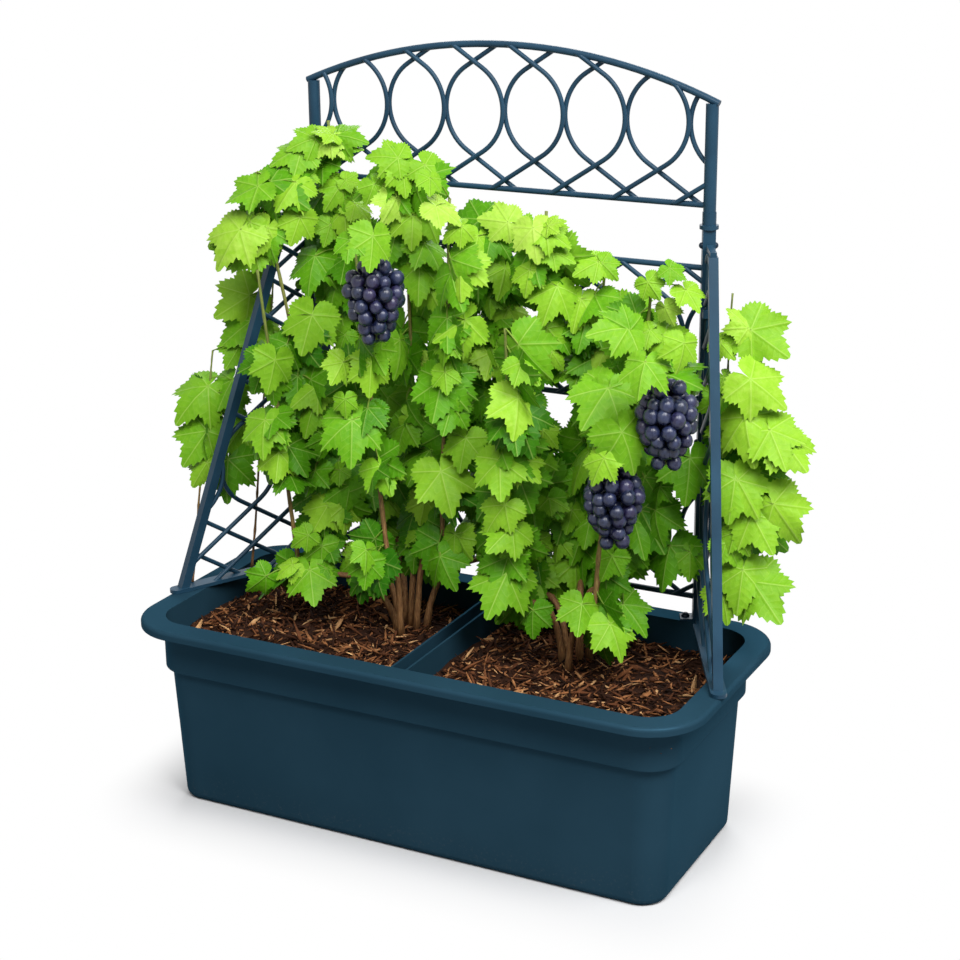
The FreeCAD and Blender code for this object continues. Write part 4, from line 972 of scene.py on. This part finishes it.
def front_leaves(rows_px, canes, closer):
    """Leaves set out by pixels: stalks from the nearest cane, blades along the line to the tip pixel,
    leaning towards the eye at the tip and facing the eye and the sky. A leaf that would stand out behind
    the planter comes forward along its own ray."""
    rows_px = np.asarray(rows_px, float)
    run = rows_px[:, 2:] - rows_px[:, :2]
    run = run * np.minimum(longest_px / np.linalg.norm(run, axis=-1, keepdims=True), 1)
    direction = ray_to(rows_px[:, 2:] - run)
    far, joint = nearest_on_canes(eye, direction, canes)
    base = eye + direction * (far - closer)[:, None]
    run = run * np.array((1, -1))
    lean = random.uniform(*lean_limits, len(base))
    along = unit(unit(run) @ np.stack((screen_right, screen_up)) - lean[:, None] * direction)
    skyward = random.uniform(*skyward_limits, len(base))[:, None]
    sideways = random.normal(0, sideways_spread, len(base))[:, None]
    facing = UP * skyward - direction + screen_right * sideways
    facing = unit(facing - along * np.sum(facing * along, axis=-1, keepdims=True))
    grown = np.linalg.norm(run, axis=-1) / screen_scale * np.sqrt(1 + lean ** 2) / leaf_length
    tip = base + along * (leaf_length * grown)[:, None]
    behind = np.maximum(np.maximum(base[:, 1], tip[:, 1]) - leaf_back, 0)
    base = base - direction * (behind / direction[:, 1])[:, None]
    return joint, base, along, facing, grown


# %% [markdown]
# ## Leaves behind the front ones
# Seen from other sides, the vines need the leaves along the canes as well, but one that shows
# between the front leaves would close an opening of the lattice. So a cane leaf is kept only where
# a front leaf stands before it and hides its tip and both its sides, and where no clear spot of the
# picture lies in it.

# %% Leaves that stay behind
back_leaf_share = 0.95
overlap_px, hidden_px = 24, 34
half_width_share = 0.6
clear_spots_px = np.array(((266, 549), (551, 405), (630, 262), (417, 324), (623, 301)))
clear_radius_px = 24
# Tone added to the front leaves as painted light, and taken from the leaves behind them as painted shade,
# a darker green.
front_painted_light, behind_painted_shade = 1.0, -0.8


def leaf_middles(places):
    """Middle of each blade: half its length on from the end of its stalk."""
    joint, base, along, facing, grown = places
    return base + along * (leaf_length / 2 * grown)[:, None]


def apart_in_picture(points, spots_px):
    """Pixels from each point to the nearest of some spots of the picture, and the number of that spot."""
    gap = np.linalg.norm(pixel_of(points)[:, None] - spots_px[None], axis=-1)
    return gap.min(axis=1), gap.argmin(axis=1)


def behind_front(places, front):
    """Which cane leaves are kept: most of those that a front leaf stands before and hides, that lie away
    from the clear spots, and whose tip does not stand out behind the planter."""
    joint, base, along, facing, grown = places
    middle, front_middle = leaf_middles(places), leaf_middles(front)
    front_px = pixel_of(front_middle)
    gap, nearest = apart_in_picture(middle, front_px)
    deeper = (middle - eye) @ ahead > ((front_middle - eye) @ ahead)[nearest]
    tip_back = base[:, 1] + along[:, 1] * leaf_length * grown
    keep = random.uniform(0, 1, len(middle)) < back_leaf_share
    keep &= (gap < overlap_px) & deeper & (tip_back < leaf_back)
    keep &= apart_in_picture(middle, clear_spots_px)[0] > clear_radius_px
    half = (leaf_length * half_width_share * grown)[:, None] * np.cross(facing, along)
    for corner in (middle + half, middle - half, 2 * middle - base):
        keep &= apart_in_picture(corner, front_px)[0] < hidden_px
    return keep


def dressed(back, front):
    """Front leaves and the cane leaves kept behind them, with a last column that says which is which."""
    # The last column paints light on the front leaves and shade on the leaves kept behind them.
    keep = behind_front(back, front)
    places = joined(([column[keep] for column in back], front))
    return places + [np.repeat((behind_painted_shade, front_painted_light), (keep.sum(), len(front[0])))]


# %% [markdown]
# ## Leaf finish
# The blade is a fresh yellow green, and its veins are paler. A flat map kept on each leaf gives
# the place on the blade, so the veins can be worked out by arithmetic: the distance to the nearest
# of five rays from the stalk makes the main veins, and a comb of lines that branch off those rays
# makes the side veins. Veins are also pressed into the surface. Each leaf has a tone of its own,
# which also holds painted light on the front and higher leaves and painted shade on those behind.

# %% Leaf material


def leaf_finish():
    """Leaf: tone by leaf, mottled, with five rays and branching side veins, a green stalk."""
    material, tree, shader, place = start_finish("leaf")
    tone = per_point(tree, "tone")
    stalk = per_point(tree, "stalk")
    flat = add_node(tree, "UVMap", {}, uv_map="flat").outputs["UV"]
    split = add_node(tree, "SeparateXYZ", {"Vector": flat})
    u = calc(tree, "ABSOLUTE", split.outputs["X"])
    v = split.outputs["Y"]
    squares = calc(tree, "ADD", times(tree, u, u), times(tree, v, v))
    reach = calc(tree, "SQRT", squares)
    angle = calc(tree, "ARCTAN2", u, v)
    away = 9.0
    for degrees in vein_angles_deg:
        ray = calc(tree, "SUBTRACT", angle, math.radians(degrees))
        beside = calc(tree, "ABSOLUTE", times(tree, reach, calc(tree, "SINE", ray)))
        away = calc(tree, "MINIMUM", away, beside)
    main = fade(tree, away, 0.003, 0.020)
    wander = times(tree, noise(tree, place, 110.0, 2.0), 0.08)
    branch = calc(tree, "ADD", calc(tree, "SUBTRACT", reach, times(tree, away, 0.8)), wander)
    comb = calc(tree, "FRACT", times(tree, branch, 7.0))
    comb = calc(tree, "ABSOLUTE", calc(tree, "SUBTRACT", comb, 0.5))
    side = times(tree, fade(tree, comb, 0.0, 0.10), 0.30)
    veins = calc(tree, "MAXIMUM", main, side)
    mottle = noise(tree, place, 110.0, 4.0, 0.6)
    shade = calc(tree, "ADD", times(tree, tone, 0.76), times(tree, mottle, 0.24))
    blade = colours(tree, shade, (0.08, paint(42, 106, 6)), (0.42, paint(94, 160, 22)),
                    (0.72, paint(146, 197, 48)), (1.0, paint(204, 229, 112)))
    blade = mix(tree, times(tree, veins, 0.30), blade, paint(200, 226, 120))
    wire(tree, shader, {
        "Base Color": mix(tree, stalk, blade, paint(134, 166, 62)),
        "Roughness": 0.42,
        "Specular IOR Level": 0.12,
    })
    side_dip = times(tree, fade(tree, comb, 0.0, 0.42), 0.22)
    dip = calc(tree, "MAXIMUM", fade(tree, away, 0.0, 0.07), side_dip)
    height = calc(tree, "SUBTRACT", times(tree, mottle, 0.6), dip)
    raise_bump(tree, shader, height, 0.0011, 0.7)
    return material


leaf_material = leaf_finish()

# %% [markdown]
# ## Dress the vines and the wings
# All leaves of a vine make one piece, and so do those of a wing, because they ride on the same
# body. Each leaf gets its own fold, arch, ripple and skew by chance. Its tone is partly chance and
# partly painted light and shade: paler higher up and on the front leaves, darker on the leaves behind.

# %% Leaf pieces
# Limits of fold, arch, ripple, place of the ripple along the edge, and skew
curl_limits = np.array(((0.05, 0.50), (0.08, 0.46), (0.05, 0.15), (0.0, 2 * math.pi), (-0.20, 0.20)))
leaf_tone_shape = (2.4, 2.2)
# Shares of the leaf tone: chance, painted light that grows with height, and painted light on the front
# leaves with painted shade on those behind.
tone_by_chance, painted_light_by_height, painted_light_and_shade_by_depth = 0.6, 0.2, 0.2
wing_post_clear = 0.020


def add_leaves(name, places, body, replaced, post_clear=0.0):
    """All leaves of one vine or wing as one piece. On a wing, those that reach the post it turns on are
    left out."""
    curl = random.uniform(*curl_limits.T, (len(places[0]), len(curl_limits)))
    points = leaf_shapes(*places[:5], curl)
    from_post = np.hypot(np.abs(points[..., 0]) - post_x, points[..., 1] - post_y).min(axis=1)
    clear = from_post > post_clear
    points, level, depth_light_and_shade = points[clear], places[0][clear, 2], places[5][clear]
    count = len(points)
    height_share = (level - level.min()) / (level.max() - level.min())
    chance = random.beta(*leaf_tone_shape, count)
    # Painted light higher up and at the front, painted shade on the leaves behind.
    tone = chance * tone_by_chance + painted_light_by_height * height_share + painted_light_and_shade_by_depth * depth_light_and_shade
    stalk = np.zeros((count, leaf_points))
    stalk[:, blade_count:] = 1
    flat = np.zeros((count, leaf_points, 2))
    flat[:, :blade_count] = np.stack((blade_u, blade_v), axis=-1)
    faces = [repeat_faces(part, count, leaf_points) for part in leaf_parts]
    values = {"tone": np.repeat(tone, leaf_points), "stalk": stalk}
    return add_piece(name, points, faces, leaf_material, body, replaced, values, flat)


for label, rows in vine_shoots.items():
    canes = [(knee, tip) for root, knee, tip in rows]
    fronts = [front_leaves(front_leaves_px[label], canes, towards_eye)]
    for name, rows_px in cover_leaves_px.items():
        if name.startswith(label):
            crown = bunch_tops[name]
            fronts.append(front_leaves(rows_px, [(crown, crown + crown_rise * UP)], crown_towards_eye))
    back = cane_leaves(canes, RIGHT, FORWARD, (1, -1), (main_leaf, filler_leaf))
    add_leaves(label + "_leaves", dressed(back, joined(fronts)), "planter", [label + "_vine_leaves"])
for label, side in sides.items():
    turn, base = wing_frame(side)
    canes = []
    for (low, high), shares in zip(wing_canes[label], wing_cane_shares[label]):
        start = low + (high - low) * (trellis_level(shares[3]) - low[2]) / (high[2] - low[2])
        canes.append((start, high))
    front = front_leaves(side_leaves_px[label], canes, side_towards_eye[label])
    back = cane_leaves(canes, turn @ (side * RIGHT), turn @ FORWARD, (1,), (wing_leaf,))
    add_leaves(label + "_side_leaves", dressed(back, front), label + "_wing", [label + "_wing_leaves"],
               wing_post_clear)

# %% [markdown]
# ## Grapes
# A bunch is rings of berries about a hanging stalk, wide at the shoulders and narrow at the end.
# A berry is a ball drawn out a little along the bunch, a function of a turn and a height angle.
# Berries differ in size and place by a millimetre or so. The skin is blue black under a pale waxy
# bloom that noise rubs off in patches.

# %% Berries
berry_width = 0.0192
berry_step = 0.0180
ring_step = 0.0150
bunch_width = 0.078
bunch_radius = (bunch_width - berry_width) / 2
bunch_stalk = 0.004
ring_shares = (0.50, 0.86, 1.0, 0.96, 0.80, 0.56, 0.26)
core_share, core_berries = 0.12, 3
first_ring_drop = 0.7
berry_stretch = 1.06
berry_size_limits, berry_shift = (0.90, 1.06), 0.0015
berry_rows, berry_columns = 5, 9


def berry_centres(top):
    """Centres of the berries: as many in each ring as fit round it, each ring turned half a berry on, and
    three in each ring close to the stalk, which fill the bunch."""
    centres = []
    inner = bunch_stalk / 2 + berry_step / 2
    for number, share in enumerate(ring_shares + (core_share,) * (len(ring_shares) - 2)):
        radius = max(inner, bunch_radius * share)
        count = max(core_berries, int(math.pi / math.asin(min(1, berry_step / (2 * radius)))))
        angle = 2 * math.pi * (np.arange(count) + number / 2) / count
        step = number if share > core_share else number - len(ring_shares) + 1
        level = np.full(count, top[2] - ring_step * (step + first_ring_drop))
        ring = (top[0] + radius * np.cos(angle), top[1] + radius * np.sin(angle), level)
        centres.append(np.stack(ring, axis=-1))
    return np.concatenate(centres)


def berry_shapes(centres):
    """Balls: a ring of columns at each height angle, and a pole at each end."""
    count = len(centres)
    height = np.linspace(-math.pi / 2, math.pi / 2, berry_rows + 2)[1:-1, None]
    angle = np.linspace(0, 2 * math.pi, berry_columns, endpoint=False)[None]
    body = np.stack((np.cos(height) * np.cos(angle), np.cos(height) * np.sin(angle),
                     np.sin(height) * np.ones_like(angle) * berry_stretch), axis=-1).reshape(-1, 3)
    ball = np.concatenate((body, ((0, 0, -berry_stretch), (0, 0, berry_stretch))))
    radius = berry_width / 2 * random.uniform(*berry_size_limits, count)
    moved = centres + random.normal(0, berry_shift, (count, 3))
    return moved[:, None] + ball[None] * radius[:, None, None]


around = np.arange(berry_columns)
beyond = (around + 1) % berry_columns
last_row = (berry_rows - 1) * berry_columns
low_pole = np.full(berry_columns, berry_rows * berry_columns)
berry_quads = grid_faces(berry_rows, berry_columns, True)
berry_low = np.stack((low_pole, beyond, around), axis=-1)
berry_high = np.stack((low_pole + 1, last_row + around, last_row + beyond), axis=-1)
berry_points = berry_rows * berry_columns + 2


def grape_finish():
    """Grape: blue-black skin, violet by berry, under a pale bloom in soft patches."""
    material, tree, shader, place = start_finish("grape")
    tone = per_point(tree, "tone")
    stem = per_point(tree, "stalk")
    skin = colours(tree, tone, (0.0, paint(14, 20, 40)), (0.6, paint(24, 30, 62)),
                   (1.0, paint(46, 34, 68)))
    rub = noise(tree, place, 150.0, 4.0, 0.6)
    bloom = times(tree, fade(tree, rub, 0.66, 0.36), 0.22)
    skin = mix(tree, bloom, skin, paint(92, 106, 146))
    wire(tree, shader, {
        "Base Color": mix(tree, stem, skin, paint(104, 116, 52)),
        "Roughness": between(tree, rub, 0.16, 0.42),
    })
    raise_bump(tree, shader, noise(tree, place, 900.0, 2.0), 0.0002, 0.3)
    return material


grape_material = grape_finish()
stem_steps, stem_sides = 16, 6


def bunch_stem(name, top):
    """Stalk of a bunch: from its joint on the cane out to the crown and down through the berries."""
    shoot, joint_share = bunch_shares[name][:2]
    root, knee, tip = shoot_points(shoot)
    joint = knee + (tip - knee) * (trellis_level(joint_share) - knee[2]) / (tip[2] - knee[2])
    path = bent_path(np.stack((joint, top, top - UP * ring_step * len(ring_shares))), stem_steps)
    return tube(path, np.full((stem_steps, stem_sides), bunch_stalk / 2), stem_sides).reshape(-1, 3)


for name, top in bunch_tops.items():
    berries = berry_shapes(berry_centres(top))
    count = len(berries)
    stem = bunch_stem(name, top)
    start = count * berry_points
    faces = [repeat_faces(part, count, berry_points) for part in (berry_quads, berry_low, berry_high)]
    faces += [part + start for part in tube_faces(stem_steps, stem_sides)]
    tone = np.concatenate((np.repeat(random.uniform(0, 1, count), berry_points), np.zeros(len(stem))))
    stalk = np.concatenate((np.zeros(start), np.ones(len(stem))))
    add_piece(name.replace("grapes", "bunch"), np.concatenate((berries.reshape(-1, 3), stem)), faces,
              grape_material, "planter", [name], {"tone": tone, "stalk": stalk})

# %% [markdown]
# ## Floor and background
# The planter stands on a plain white floor that runs out into white. Near the planter the floor is
# an ordinary matt surface that takes the soft shadow; further out it turns into plain white for
# the camera, so that no horizon shows.

# %% Floor
floor_half = 6.0
foot_half = {"X": 0.33, "Y": 0.13}
white_from = 0.15
floor_white, bounce_grey = (0.78, 0.78, 0.785, 1.0), (0.34, 0.34, 0.35, 1.0)
plain_white = (1.0, 1.0, 1.0, 1.0)


def seen_directly(tree):
    """1 for a ray from the camera or one that metal or glass passes on, 0 for light that bounces."""
    path = add_node(tree, "LightPath", {})
    seen = path.outputs["Is Camera Ray"]
    for ray in ("Is Glossy Ray", "Is Transmission Ray"):
        seen = calc(tree, "MAXIMUM", seen, path.outputs[ray])
    return seen


def floor_finish():
    """White floor: matt near the planter, and plain white further from the foot's rectangle than a set
    distance, for rays that see it directly."""
    material, tree, shader, place = start_finish("floor")
    split = add_node(tree, "SeparateXYZ", {"Vector": place})
    squares = 0.0
    for axis, half in foot_half.items():
        past = calc(tree, "SUBTRACT", calc(tree, "ABSOLUTE", split.outputs[axis]), half)
        past = calc(tree, "MAXIMUM", past, 0.0)
        squares = calc(tree, "ADD", squares, times(tree, past, past))
    limits = {"Value": calc(tree, "SQRT", squares), "From Min": 0.0, "From Max": white_from}
    outside = add_node(tree, "MapRange", limits, interpolation_type="SMOOTHSTEP").outputs[0]
    seen = seen_directly(tree)
    tone = mix(tree, seen, bounce_grey, floor_white)
    wire(tree, shader, {"Base Color": tone, "Roughness": 0.9, "Specular IOR Level": 0.0})
    white = add_node(tree, "Emission", {"Color": plain_white, "Strength": 1.0})
    share = times(tree, outside, seen)
    shaders = {0: share, 1: shader.outputs["BSDF"], 2: white.outputs["Emission"]}
    blend = add_node(tree, "MixShader", shaders)
    wire(tree, tree.nodes["Material Output"], {"Surface": blend.outputs[0]})
    return material


corners = ((-floor_half, -floor_half, 0), (floor_half, -floor_half, 0),
           (floor_half, floor_half, 0), (-floor_half, floor_half, 0))
floor_mesh = bpy.data.meshes.new("floor")
floor_mesh.from_pydata(corners, [], [(0, 1, 2, 3)])
floor_mesh.materials.append(floor_finish())
floor = bpy.data.objects.new("floor", floor_mesh)
bpy.context.scene.collection.objects.link(floor)
print("floor side:", 2 * floor_half)

# %% [markdown]
# ## Light
# A wide soft lamp above and to the right gives the form, a smaller one above the front opens the
# shadows, a third behind on the left lights the edges, and the sky is an even pale light. The lamps
# are set so that a colour renders about as it is written.

# %% Lamps and sky
world = bpy.data.worlds.new("sky")
world.use_nodes = True
bpy.context.scene.world = world
sky = world.node_tree
ambient = 0.155
strength = calc(sky, "ADD", times(sky, seen_directly(sky), 1.0 - ambient), ambient)
wire(sky, sky.nodes["Background"], {"Color": plain_white, "Strength": strength})


def add_lamp(name, place, aim, size, power):
    """A square lamp that faces a point."""
    lamp = bpy.data.lights.new(name, "AREA")
    lamp.size = size
    lamp.energy = power
    lamp_object = bpy.data.objects.new(name, lamp)
    lamp_object.location = place
    lamp_object.rotation_euler = (Vector(aim) - Vector(place)).to_track_quat("-Z", "Y").to_euler()
    bpy.context.scene.collection.objects.link(lamp_object)
    print(name, "lamp:", power, "W")


aim = (0.0, 0.0, 0.45)
add_lamp("key", (1.75, -0.8, 2.65), aim, 1.6, 88)
add_lamp("fill", (0.4, -1.9, 2.9), aim, 1.2, 44)
add_lamp("back", (-0.8, 2.3, 2.3), aim, 1.6, 36)

# %% [markdown]
# ## Camera
# The camera takes the place, angles and focal length that the rays were worked out from.

# %% Camera
camera_data = bpy.data.cameras.new("camera")
camera_data.lens = lens_mm
camera_data.sensor_width = sensor_mm
camera = bpy.data.objects.new("camera", camera_data)
turn = Matrix((screen_right, screen_up, -ahead)).transposed().to_4x4()
camera.matrix_world = Matrix.Translation(Vector(eye)) @ turn
bpy.context.scene.collection.objects.link(camera)
bpy.context.scene.camera = camera
bpy.context.scene.view_settings.view_transform = "Standard"
print("camera at", eye, "lens", lens_mm)
